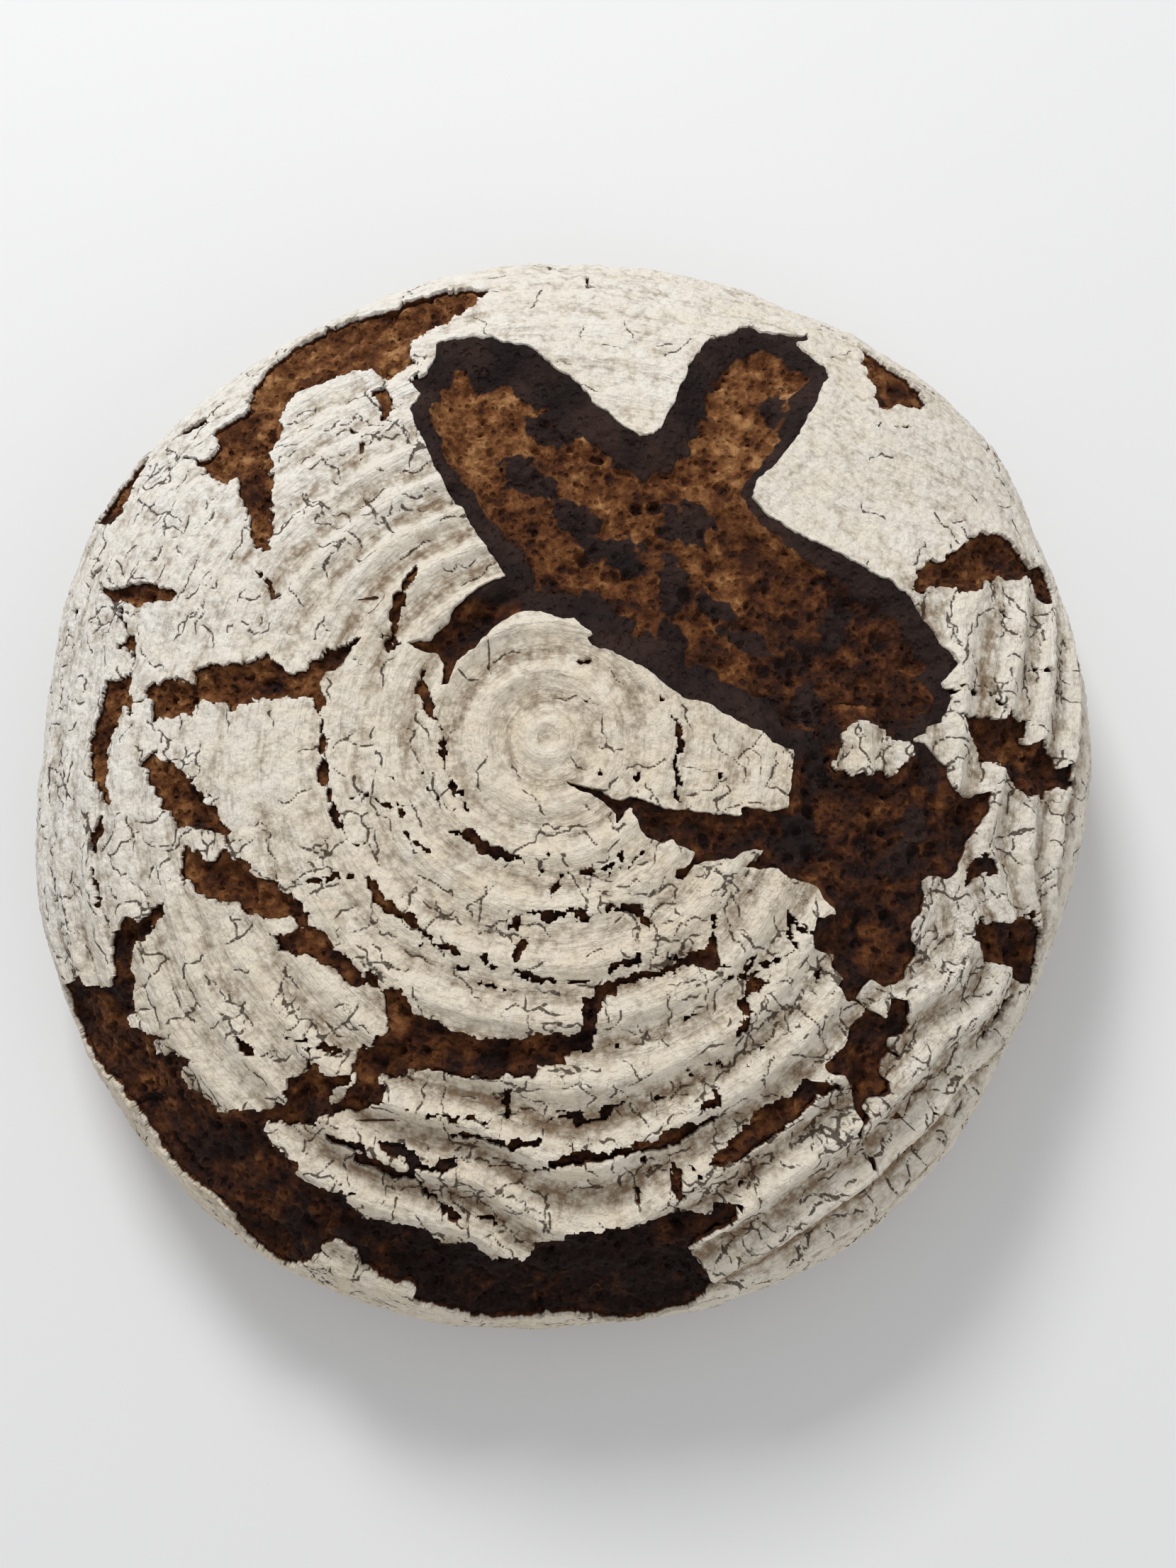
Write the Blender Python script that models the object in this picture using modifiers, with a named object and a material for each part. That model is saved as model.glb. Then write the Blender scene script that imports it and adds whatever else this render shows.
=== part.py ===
"""A round rye loaf: a floured boule proved in a coiled-cane basket, scored with two crossed leaves.

The loaf is one body. Its side view is turned about the crown, pressed slightly out of round, and its
crust is cut away where the score and the bake tore it open, down to a floor of crumb a few millimetres
below. Places on the crust are given in millimetres east and north of the crown, measured along the
crust as if it were peeled off and laid flat. Run with: blender --background --python part.py
"""

import math

import bmesh
import bpy
import numpy as np

MM = 0.001

# Driving dimensions, in millimetres.
RADIUS = 125.0
HEIGHT = 80.0
WIDEST_HEIGHT = 25.0
BASE_RADIUS = 110.0
CROWN_SQUARENESS = (2.25, 2.1)
FOOT_SQUARENESS = 2.2
CROWN_SHIFT = -4.5

# Each wave of the outline: how many times round, its share of the radius, and the angle of a crest.
OUTLINE_WAVES = (
    (2, 0.024, 67.0),
    (3, 0.009, 33.0),
    (4, 0.010, 41.0),
    (5, 0.0045, 13.0),
    (7, 0.006, -7.0),
)

# The basket's cane leaves a ridge in the crust at every turn.
CANE_PITCH = 8.0
RIDGE_HALF_HEIGHT = 0.6
RIDGES_END = 136.0
FOOT_RINGS = 6
TURN_STEPS = 80

# Torn places, with the depth of their crumb floor below the crust.
SCORE_DEPTH = 5.0
TEAR_DEPTH = 4.0
BURST_DEPTH = 5.0
CUTTER_RISE = 4.0
BEND_STEP = 16.0

CRUST_COLOUR = (0.78, 0.72, 0.62, 1.0)
CRUST_ROUGHNESS = 0.95

# The crossed leaves and the wedge that runs on from them, clockwise from the west tip.
SCORE = (
    (-27, 93), (-14, 94), (-4, 90.5), (5, 82), (11, 74), (18, 67), (23, 66), (28, 75), (31, 84),
    (34, 91), (40, 97), (46, 100), (56, 100), (58, 94), (62.5, 88.5), (61, 81), (57, 72), (51, 61),
    (45, 53.5), (44.5, 50.5), (51, 45), (63, 38), (76, 32.5), (82, 26.5), (88.5, 18), (90.5, 14),
    (87.5, 10), (88.5, 4), (83, -1), (86, -6), (89, -9), (91, -14), (100, -14), (99, -20), (95, -28),
    (90, -34), (84.5, -36), (80, -46), (82, -51), (78.5, -58), (79, -66), (74, -71), (73, -80),
    (68, -83), (66, -90), (65, -82), (59, -74), (64, -68), (63, -57), (57.5, -50), (58, -43),
    (59, -37), (50, -33), (36, -31), (30, -31), (22, -26.5), (12, -17), (25, -20), (42, -21),
    (53, -19.5), (54, -7), (41, -0.5), (25, 7.3), (11, 16), (7, 20.5), (0, 23), (-10.5, 18),
    (-20, 6), (-23, 16), (-14, 27.5), (-8, 30.5), (-17.5, 46), (-22, 53), (-27, 63.5), (-31, 76),
)

# The floured island left standing in the wedge.
ISLAND = ((63.5, -3), (67, 0), (72, -1), (79, -4), (78, -9), (76, -11.5), (67, -11.5), (62.5, -10))

# Every other wide tear, clockwise, by name.
TEARS = {
    "north_west_tear": (
        (-64, 106), (-53, 112), (-40, 109), (-27, 112), (-16, 112), (-20, 104), (-30, 96), (-32, 88),
        (-38, 84), (-48, 87), (-62, 82), (-64, 68), (-61, 52), (-61, 39), (-66, 42), (-68, 50),
        (-71, 58), (-78, 60), (-85, 68), (-80, 77), (-75, 83), (-75, 91), (-70, 100),
    ),
    "north_east_tear": (
        (73, 98), (73, 84), (74, 77), (79, 79.5), (87, 83), (87, 91), (80, 99), (76, 102),
    ),
    "east_tear": (
        (80.5, 32), (83, 38.5), (91.5, 44), (99, 50), (107, 49), (117, 47), (121, 42), (116, 37),
        (105, 39), (96, 33), (88, 33),
    ),
    "east_side_tear": (
        (92, 3.5), (107, 6), (112, 0), (119, 0), (124, -6), (122, -10), (117, -13), (107, -12),
        (98, -6.5),
    ),
    "south_east_tear": (
        (95.5, -45), (99, -43), (114, -41), (120, -45), (120, -58), (114, -58), (104, -54), (98, -50),
    ),
    "west_score": (
        (-94, 11.5), (-80, 11), (-71, 14), (-61, 14.5), (-51, 10), (-44, 17), (-37, 19), (-42, 13),
        (-47, 5), (-57, 4.5), (-66, 3), (-76, 4.5), (-91, 2),
    ),
    "west_side_tear": (
        (-99, 25), (-97, 16), (-98, 6), (-103, 0), (-102, -13), (-106, -12), (-109, -3), (-106, 12),
        (-101, 17),
    ),
    "south_west_score": (
        (-92, -6), (-82, -8), (-73, -17), (-67, -25), (-61, -33), (-50, -41), (-43, -49), (-37, -56),
        (-43, -54), (-53, -49), (-62, -43), (-76, -37), (-80, -28), (-86, -18),
    ),
    "south_tear": (
        (-36, -55), (-27, -61), (-16, -67), (0, -66.5), (7, -65), (7.5, -60), (17, -55), (25, -54.5),
        (15, -58), (11, -62), (10, -69), (0, -73), (-7, -75), (-19, -75), (-33, -76), (-40, -72),
        (-31, -65),
    ),
    "south_east_slit": (
        (33, -94), (43, -84.5), (53, -77), (60, -77.5), (55, -82), (45, -90), (38, -94),
    ),
}

# The long burst round the south-west foot, where the crust sprang away from the lower wall.
BURST = (
    (-122, -58), (-101, -56.5), (-99, -46), (-83, -38), (-85, -44), (-93, -52), (-95, -64),
    (-88, -70), (-79, -79), (-70, -83), (-57, -80), (-47, -75), (-42, -76), (-41, -82), (-50, -83),
    (-60, -85), (-54, -94), (-46, -98.5), (-44, -104), (-30, -107.5), (-14, -115), (0, -112),
    (13, -107), (29, -105), (40, -104), (30, -114), (35, -126), (30, -136), (0, -137), (-20, -136),
    (-38, -123), (-47, -112), (-58, -119), (-72, -118), (-78, -106), (-92, -100), (-106, -82),
    (-121, -72),
)


def crust_profile():
    """Samples the side view from the crown to the foot: arc length, radius and height."""
    crown = np.linspace(0.0, math.pi / 2, 1200)
    foot = np.linspace(0.0, math.pi / 2, 400)[1:]
    out, up = CROWN_SQUARENESS
    radius = np.concatenate((
        RADIUS * np.sin(crown) ** (2 / out),
        BASE_RADIUS + (RADIUS - BASE_RADIUS) * np.cos(foot) ** (2 / FOOT_SQUARENESS),
    ))
    height = np.concatenate((
        WIDEST_HEIGHT + (HEIGHT - WIDEST_HEIGHT) * np.cos(crown) ** (2 / up),
        WIDEST_HEIGHT * (1 - np.sin(foot) ** (2 / FOOT_SQUARENESS)),
    ))
    steps = np.hypot(np.diff(radius), np.diff(height))
    return np.concatenate(((0.0,), np.cumsum(steps))), radius, height


ARC, ARC_RADIUS, ARC_HEIGHT = crust_profile()
FOOT_ARC = float(ARC[-1])


def out_of_round(angle):
    """The loaf's radius in a direction, as a share of the turned radius."""
    waves = (share * math.cos(times * (angle - math.radians(crest))) for times, share, crest in OUTLINE_WAVES)
    return 1.0 + sum(waves)


def pressed(x, y):
    """Moves a point of the turned body to where the finished outline puts it."""
    radius = math.hypot(x, y)
    share = min(radius / RADIUS, 1.0)
    scale = 1.0 + (out_of_round(math.atan2(y, x)) - 1.0) * share
    return x * scale + CROWN_SHIFT * (1.0 - share**2), y * scale


def outline_centre():
    """The middle of the outline's box, which becomes the origin."""
    turn = [math.radians(step) for step in range(360)]
    rim = [pressed(RADIUS * math.cos(angle), RADIUS * math.sin(angle)) for angle in turn]
    xs, ys = zip(*rim)
    return (min(xs) + max(xs)) / 2, (min(ys) + max(ys)) / 2


CENTRE_X, CENTRE_Y = outline_centre()


def turned_point(arc, lift):
    """Radius and height at an arc length from the crown, lifted square to the crust."""
    reach = 0.5
    radius = float(np.interp(arc, ARC, ARC_RADIUS))
    height = float(np.interp(arc, ARC, ARC_HEIGHT))
    before, after = max(arc - reach, 0.0), min(arc + reach, FOOT_ARC)
    run = float(np.interp(after, ARC, ARC_RADIUS) - np.interp(before, ARC, ARC_RADIUS))
    fall = float(np.interp(after, ARC, ARC_HEIGHT) - np.interp(before, ARC, ARC_HEIGHT))
    length = math.hypot(run, fall)
    return radius - lift * fall / length, height + lift * run / length


def on_crust(east, north, lift):
    """World position, in metres, of a place on the peeled-off crust."""
    arc = min(math.hypot(east, north), FOOT_ARC)
    angle = math.atan2(north, east)
    radius, height = turned_point(arc, lift)
    x, y = pressed(radius * math.cos(angle), radius * math.sin(angle))
    return (x - CENTRE_X) * MM, (y - CENTRE_Y) * MM, height * MM


def ridge_lift(arc):
    """Crests and valleys alternate every half pitch, and die out above the foot."""
    fade = min(1.0, max(0.0, (RIDGES_END - arc) / CANE_PITCH))
    return RIDGE_HALF_HEIGHT * fade * math.cos(2 * math.pi * arc / CANE_PITCH)


def side_view_points():
    """The turned profile in metres, from the crown down the outside to the foot and in to the axis."""
    crest_arcs = np.arange(CANE_PITCH / 2, RIDGES_END, CANE_PITCH / 2)
    foot_arcs = np.linspace(RIDGES_END, FOOT_ARC, FOOT_RINGS)
    points = [(0.0, HEIGHT)]
    points += [turned_point(arc, ridge_lift(arc)) for arc in crest_arcs]
    points += [turned_point(arc, 0.0) for arc in foot_arcs[:-1]]
    points += [(BASE_RADIUS, 0.0), (0.0, 0.0)]
    return [(radius * MM, 0.0, height * MM) for radius, height in points]


def rye_crust_material():
    material = bpy.data.materials.new("floured_rye_crust")
    material.use_nodes = True
    shader = material.node_tree.nodes["Principled BSDF"]
    shader.inputs["Base Color"].default_value = CRUST_COLOUR
    shader.inputs["Roughness"].default_value = CRUST_ROUGHNESS
    shader.inputs["Metallic"].default_value = 0.0
    return material


def turned_mesh():
    """Turns the side view about the crown with a Screw modifier, and returns the result as a mesh."""
    points = side_view_points()
    profile = bpy.data.meshes.new("side_view")
    profile.from_pydata(points, [(i, i + 1) for i in range(len(points) - 1)], [])
    turner = bpy.data.objects.new("side_view", profile)
    bpy.context.scene.collection.objects.link(turner)
    screw = turner.modifiers.new("Turn", "SCREW")
    screw.axis = "Z"
    screw.angle = 2 * math.pi
    screw.steps = screw.render_steps = TURN_STEPS
    screw.use_merge_vertices = True
    screw.merge_threshold = 0.00005
    evaluated = turner.evaluated_get(bpy.context.evaluated_depsgraph_get())
    mesh = bpy.data.meshes.new_from_object(evaluated)
    bpy.data.objects.remove(turner)
    bpy.data.meshes.remove(profile)
    return mesh


def loaf_body(collection):
    """The whole loaf before it tears: turned, ridged, and pressed out of round."""
    mesh = turned_mesh()
    mesh.name = "loaf"
    for vertex in mesh.vertices:
        x, y = pressed(vertex.co.x / MM, vertex.co.y / MM)
        vertex.co.x = (x - CENTRE_X) * MM
        vertex.co.y = (y - CENTRE_Y) * MM
    mesh.shade_smooth()
    mesh.materials.append(rye_crust_material())
    loaf = bpy.data.objects.new("loaf", mesh)
    collection.objects.link(loaf)
    return loaf


def slice_for_bending(mesh, outline):
    """Slices a flat solid every few millimetres both ways, so that it can follow the dome."""
    for axis in (0, 1):
        normal = [0.0, 0.0, 0.0]
        normal[axis] = 1.0
        low = min(point[axis] for point in outline)
        high = max(point[axis] for point in outline)
        for place in np.arange(math.ceil(low / BEND_STEP) * BEND_STEP, high, BEND_STEP):
            geometry = mesh.verts[:] + mesh.edges[:] + mesh.faces[:]
            spot = [float(place) * value for value in normal]
            bmesh.ops.bisect_plane(mesh, geom=geometry, dist=1e-5, plane_co=spot, plane_no=normal)


def wrapped_solid(name, outline, depth, rise, collection):
    """An outline on the peeled crust, extruded from below it to above it and wrapped over the loaf."""
    solid = bmesh.new()
    floor = solid.faces.new([solid.verts.new((east, north, -depth)) for east, north in outline])
    raised = bmesh.ops.extrude_face_region(solid, geom=[floor], use_keep_orig=True)
    top = [item for item in raised["geom"] if isinstance(item, bmesh.types.BMVert)]
    bmesh.ops.translate(solid, vec=(0.0, 0.0, depth + rise), verts=top)
    slice_for_bending(solid, outline)
    bmesh.ops.triangulate(solid, faces=solid.faces[:])
    for vertex in solid.verts:
        vertex.co = on_crust(*vertex.co)
    bmesh.ops.recalc_face_normals(solid, faces=solid.faces[:])
    mesh = bpy.data.meshes.new(name)
    solid.to_mesh(mesh)
    solid.free()
    obj = bpy.data.objects.new(name, mesh)
    obj.hide_render = True
    obj.display_type = "WIRE"
    collection.objects.link(obj)
    return obj


def cut_with(target, cutter):
    modifier = target.modifiers.new(cutter.name, "BOOLEAN")
    modifier.operation = "DIFFERENCE"
    modifier.solver = "EXACT"
    modifier.object = cutter


def score_cutter(collection):
    """The score's cutter, spared where the island stands."""
    score = wrapped_solid("score", SCORE, SCORE_DEPTH, CUTTER_RISE, collection)
    island = wrapped_solid("island", ISLAND, SCORE_DEPTH + 1.0, CUTTER_RISE + 1.0, collection)
    cut_with(score, island)
    return score


def main():
    for obj in list(bpy.data.objects):
        bpy.data.objects.remove(obj)
    parts = bpy.data.collections.new("rye_loaf")
    cutters = bpy.data.collections.new("rye_loaf_cutters")
    bpy.context.scene.collection.children.link(parts)
    bpy.context.scene.collection.children.link(cutters)
    loaf = loaf_body(parts)
    cut_with(loaf, score_cutter(cutters))
    cut_with(loaf, wrapped_solid("burst", BURST, BURST_DEPTH, CUTTER_RISE, cutters))
    for name, outline in TEARS.items():
        cut_with(loaf, wrapped_solid(name, outline, TEAR_DEPTH, CUTTER_RISE, cutters))


main()
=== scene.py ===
"""A round rye loaf with a floured, cane-ridged crust, laid out as an add-on and run as a script.

The crust is modelled flat, as if it were peeled off the loaf: places are in millimetres east and north
of the crown, measured along the crust, and every finished mesh is wrapped back over the dome.
"""

import functools
import math

import bmesh
import bpy
import numpy as np
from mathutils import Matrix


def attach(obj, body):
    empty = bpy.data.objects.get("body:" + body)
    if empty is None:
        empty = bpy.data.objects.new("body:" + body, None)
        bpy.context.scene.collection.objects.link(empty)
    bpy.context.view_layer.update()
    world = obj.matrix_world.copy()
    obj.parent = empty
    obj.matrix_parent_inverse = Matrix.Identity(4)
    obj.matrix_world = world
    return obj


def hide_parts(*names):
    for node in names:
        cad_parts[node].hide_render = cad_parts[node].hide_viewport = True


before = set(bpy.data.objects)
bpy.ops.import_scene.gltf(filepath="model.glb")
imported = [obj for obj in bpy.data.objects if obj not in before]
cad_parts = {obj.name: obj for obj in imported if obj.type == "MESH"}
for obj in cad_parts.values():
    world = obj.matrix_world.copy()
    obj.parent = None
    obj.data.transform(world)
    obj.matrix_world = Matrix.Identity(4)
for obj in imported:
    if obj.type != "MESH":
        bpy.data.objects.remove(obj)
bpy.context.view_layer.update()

bl_info = {
    "name": "Round Rye Loaf",
    "version": (1, 0, 0),
    "blender": (4, 5, 0),
    "location": "View3D > Sidebar > Loaf",
    "description": "Models the crust, crumb and core of a floured round rye loaf",
    "category": "Add Mesh",
}

MM = 0.001
BODY = "root"
LOAF_NODE = "loaf"
BAKE_MAP = "OFBake"

# The loaf's turned side view and its outline, as in the CAD.
RADIUS = 125.0
HEIGHT = 80.0
WIDEST_HEIGHT = 25.0
BASE_RADIUS = 110.0
CROWN_SQUARENESS = (2.25, 2.1)
FOOT_SQUARENESS = 2.2
CROWN_SHIFT = -4.5
OUTLINE_WAVES = (
    (2, 0.024, 67.0),
    (3, 0.009, 33.0),
    (4, 0.010, 41.0),
    (5, 0.0045, 13.0),
    (7, 0.006, -7.0),
)

# The flat sheet reaches past the foot on every side.
REACH = 184.0

# The eye of the cane swirl, how far out its first crest lies, and how far apart the turns are.
EYE_EAST, EYE_NORTH = 1.4, -5.4
FIRST_CREST = 14.3
CANE_PITCH = 10.6

# Dark colours of baked rye: in the cracks, on the crumb's walls, and char from black to brown; the char black
# is painted shade and the char brown painted light, the same char as it looks shaded and lit.
SPECKLE_BROWN = (0.16, 0.085, 0.04, 1.0)
CRACK_BROWN = (0.035, 0.018, 0.009, 1.0)
WALL_BROWN = (0.03, 0.012, 0.006, 1.0)
SHADED_CHAR_BLACK = (0.0125, 0.0075, 0.0065, 1.0)
LIT_CHAR_BROWN = (0.04, 0.021, 0.0165, 1.0)

# How far the crumb goes on under the crust, how its edge hangs down, and where crust is firm.
CRUMB_OVERLAP = 1.6
CRUMB_RIMS = ((0.0, 5.0, 1.0),)
FIRM_EDGE = 0.7
SMOOTH_ANGLE = 62.0

# Lights: place and size in metres, and power in watts.
LIGHTS = {
    "window_light": ((-0.36, 0.98, 1.12), 0.45, 15.8),
    "front_fill": ((0.9, -1.1, 1.2), 1.2, 5.0),
}

# The camera: degrees above the floor, and millimetres from a point at the aim height.
CAMERA_ELEVATION = 76.9
CAMERA_DISTANCE = 520.0
AIM_HEIGHT = 25.0
CAMERA_LENS = 67.9
CAMERA_SHIFT = (0.0225, -0.0098)

# Openings torn in the crust, clockwise, as places on the peeled crust.
LEAVES = (
    (-27, 93), (-21, 94), (-13.5, 94), (-11, 92), (-4.5, 90.5), (-2, 87.5), (1, 84.5), (4.5, 82.5),
    (7, 79), (11, 74), (13.5, 72.5), (15.5, 69.5), (18, 67), (20.5, 65.5), (23.5, 66), (25, 68),
    (28, 75.5), (29, 79), (30.5, 82), (31.5, 87), (34, 91.5), (36.5, 95), (40, 96.5), (43, 99.5),
    (46, 100.5), (49, 99), (53.5, 100), (60, 100.8), (59.5, 99), (56.5, 96.5), (57.5, 94), (61, 90),
    (62.5, 88.5), (63, 85), (61, 81.5), (59, 76), (57, 72), (55, 67), (51.5, 61.5), (48.5, 57.5),
    (45.5, 54), (44.5, 50.5), (47.5, 46.5), (51, 44.5), (58.5, 40.5), (66.5, 36.5), (71.5, 34.5),
    (76, 32.5), (79.5, 30), (82, 26.5), (85.5, 22), (88.5, 18), (90.5, 15), (87.5, 10.5),
    (89.3, 7), (88.5, 3.5), (87.5, 1.5), (83.5, 0), (84, -1.5), (80, -3), (80.3, -3.7), (83, -3.5),
    (86, -6), (89, -8.5), (89.5, -12), (91, -14), (94.5, -15), (100, -13.5), (100, -18),
    (98.8, -20.5), (96.5, -24), (95, -28.5), (92.5, -32), (90, -34.3), (86, -33.7), (84, -34.8),
    (84.5, -38), (82.5, -42.3), (80.3, -44.3), (80, -48.3), (82.5, -49.7), (81.8, -51.7),
    (79, -55), (79, -57), (73.7, -58.3), (70.3, -56.5), (68, -58.7), (66.7, -60.6), (70.5, -63.2),
    (72.7, -64.3), (75, -60.4), (78, -60.6), (78.7, -62), (78.6, -64.7), (79.7, -66.8),
    (77.8, -68.6), (73.7, -69.2), (74, -71), (76.3, -72.4), (77, -73.8), (74.5, -72.2),
    (72.5, -73.4), (71.8, -76.6), (73.7, -78), (73.2, -80.6), (68.7, -81.3), (67, -83.3),
    (68.3, -85.2), (66.5, -87), (67.3, -90), (65.8, -89.8), (65, -87.8), (66.3, -85.7),
    (65, -82.5), (64.7, -78.7), (62.5, -75.8), (59, -75.3), (58.3, -73.7), (60.5, -72),
    (63.8, -69), (65.2, -65.7), (69, -62.7), (66.3, -61.2), (63.7, -60.5), (62, -57.4),
    (63.5, -56), (61.5, -53.6), (62.3, -51), (59.5, -50.8), (57, -49.8), (56.5, -46.5),
    (58, -43.3), (62.5, -42.3), (60, -39.3), (59, -36.7), (55, -35.5), (52, -35), (50, -33),
    (46.3, -33), (42, -32.5), (45, -31.5), (47, -29), (44.5, -29), (42, -30), (40, -31),
    (35.5, -31.3), (32.3, -32), (27.5, -38), (29.5, -35), (27.3, -35), (28, -33), (31, -32),
    (32.3, -29.5), (28.5, -28.3), (27.5, -26.8), (25, -27.3), (22.2, -26.5), (20.7, -25),
    (20, -23), (18.7, -20), (16.8, -22.5), (15.5, -24), (15.5, -21.3), (12, -18), (8, -16.8),
    (4.7, -14.2), (12.3, -16.6), (15, -18), (17, -18.5), (18.8, -17.5), (22, -18.5),
    (25.8, -20.3), (29.5, -20.5), (34, -21), (40.7, -21.5), (42.3, -22), (42.3, -20), (46, -20),
    (49.7, -20.5), (52.8, -19.5), (52.8, -17), (53.5, -13), (54, -7), (49, -5.5), (47, -3.2),
    (44, -2.5), (41, -0.5), (37, 1.3), (34, 2.8), (30, 3.8), (25.3, 7.3), (21, 10), (17, 12),
    (14, 13.7), (11.5, 14.5), (9.5, 16.3), (11, 17), (9, 18.5), (7, 20.5), (3, 20.8), (0, 23),
    (-4.5, 22.5), (-8, 20), (-10.5, 18), (-14, 14), (-17.5, 11), (-19.5, 6), (-21, 6),
    (-20.5, 10.5), (-22, 13.5), (-26.5, 14), (-29, 15.5), (-23.5, 16.5), (-20, 20), (-18.5, 23),
    (-16.5, 25), (-14, 27.5), (-11, 29.5), (-7.5, 30.5), (-10, 34.5), (-13, 38), (-15, 42),
    (-17.5, 46), (-20, 49.5), (-22, 53), (-24.5, 57.5), (-27, 63.5), (-30, 69.5), (-31.5, 73.5),
    (-29.5, 78), (-32, 81), (-28.5, 83), (-27, 88.5),
)
BURST = (
    (-123.5, -57), (-113.5, -54.5), (-103.5, -56.8), (-101, -56.5), (-100, -55.5), (-99.8, -44.5),
    (-95.8, -41.8), (-87.8, -41), (-82.5, -36.5), (-84.2, -41.5), (-87.8, -45), (-91.5, -47.5),
    (-94.3, -51.5), (-93.5, -54.3), (-93.8, -58.3), (-93.3, -62.2), (-96, -64), (-92, -65.3),
    (-89, -66.3), (-84.5, -67.5), (-89, -68.3), (-88.5, -70.5), (-78, -71.3), (-79.7, -73.3),
    (-82.3, -74.6), (-82, -76.7), (-78.3, -79.3), (-75.3, -80.8), (-74, -82.8), (-71.3, -83.8),
    (-68.5, -82), (-64.3, -81.5), (-62, -82.3), (-57, -80.3), (-55.7, -78.3), (-55, -75.7),
    (-51.3, -73.5), (-50.2, -70.3), (-48, -72.3), (-44.3, -75.6), (-40.2, -73), (-39.2, -72.7),
    (-43, -77), (-46, -78), (-46.3, -81), (-44.3, -80), (-41, -76.3), (-39.3, -73.5),
    (-35.3, -74.3), (-33.3, -78), (-35, -80.7), (-40, -82.3), (-44.8, -82), (-49, -82.5),
    (-49.3, -86), (-54, -86), (-57.5, -85), (-61, -83.8), (-62.5, -85.5), (-59.5, -88.3),
    (-56, -90.8), (-53.3, -91.7), (-55, -93.7), (-55.3, -96), (-52.7, -97.5), (-49.3, -98.3),
    (-41, -99), (-43.8, -100.6), (-44.2, -103.2), (-41.6, -106), (-35.8, -107.5), (-31.8, -107),
    (-28, -108.4), (-26, -110.3), (-24, -111), (-25.6, -113), (-21.3, -111.4), (-18, -112.2),
    (-17.4, -114.2), (-14, -115.6), (-13.3, -113.6), (-10, -115.3), (-6.8, -116), (-6, -113.7),
    (-3.2, -112.2), (2, -112), (2.2, -110), (0.3, -108.6), (5, -109), (11, -107.7), (19, -106.4),
    (27.6, -105.2), (29.6, -104.7), (29.8, -107), (33.4, -106.4), (35.3, -103.6), (40.7, -103.6),
    (39.4, -105.7), (35.4, -108.7), (30.8, -112), (29, -114), (31, -117.5), (33.5, -120.7),
    (34.6, -124.5), (35.8, -129.5), (31.5, -140), (18, -143), (15, -143.5), (2.3, -138),
    (-3, -135.7), (-3.7, -138), (-20, -138), (-25, -133.5), (-29, -132), (-33.3, -127.5),
    (-32.5, -124), (-38.8, -123.5), (-44.5, -118.5), (-47.5, -110.5), (-54, -115), (-57, -119),
    (-62.5, -123), (-68, -126), (-76, -116.5), (-77, -112.5), (-75, -107.5), (-82, -103.8),
    (-91, -101), (-95, -97), (-99.5, -89), (-105, -83.5), (-108.5, -79.8), (-116.5, -75.8),
    (-121.5, -71.5), (-125, -66),
)
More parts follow.
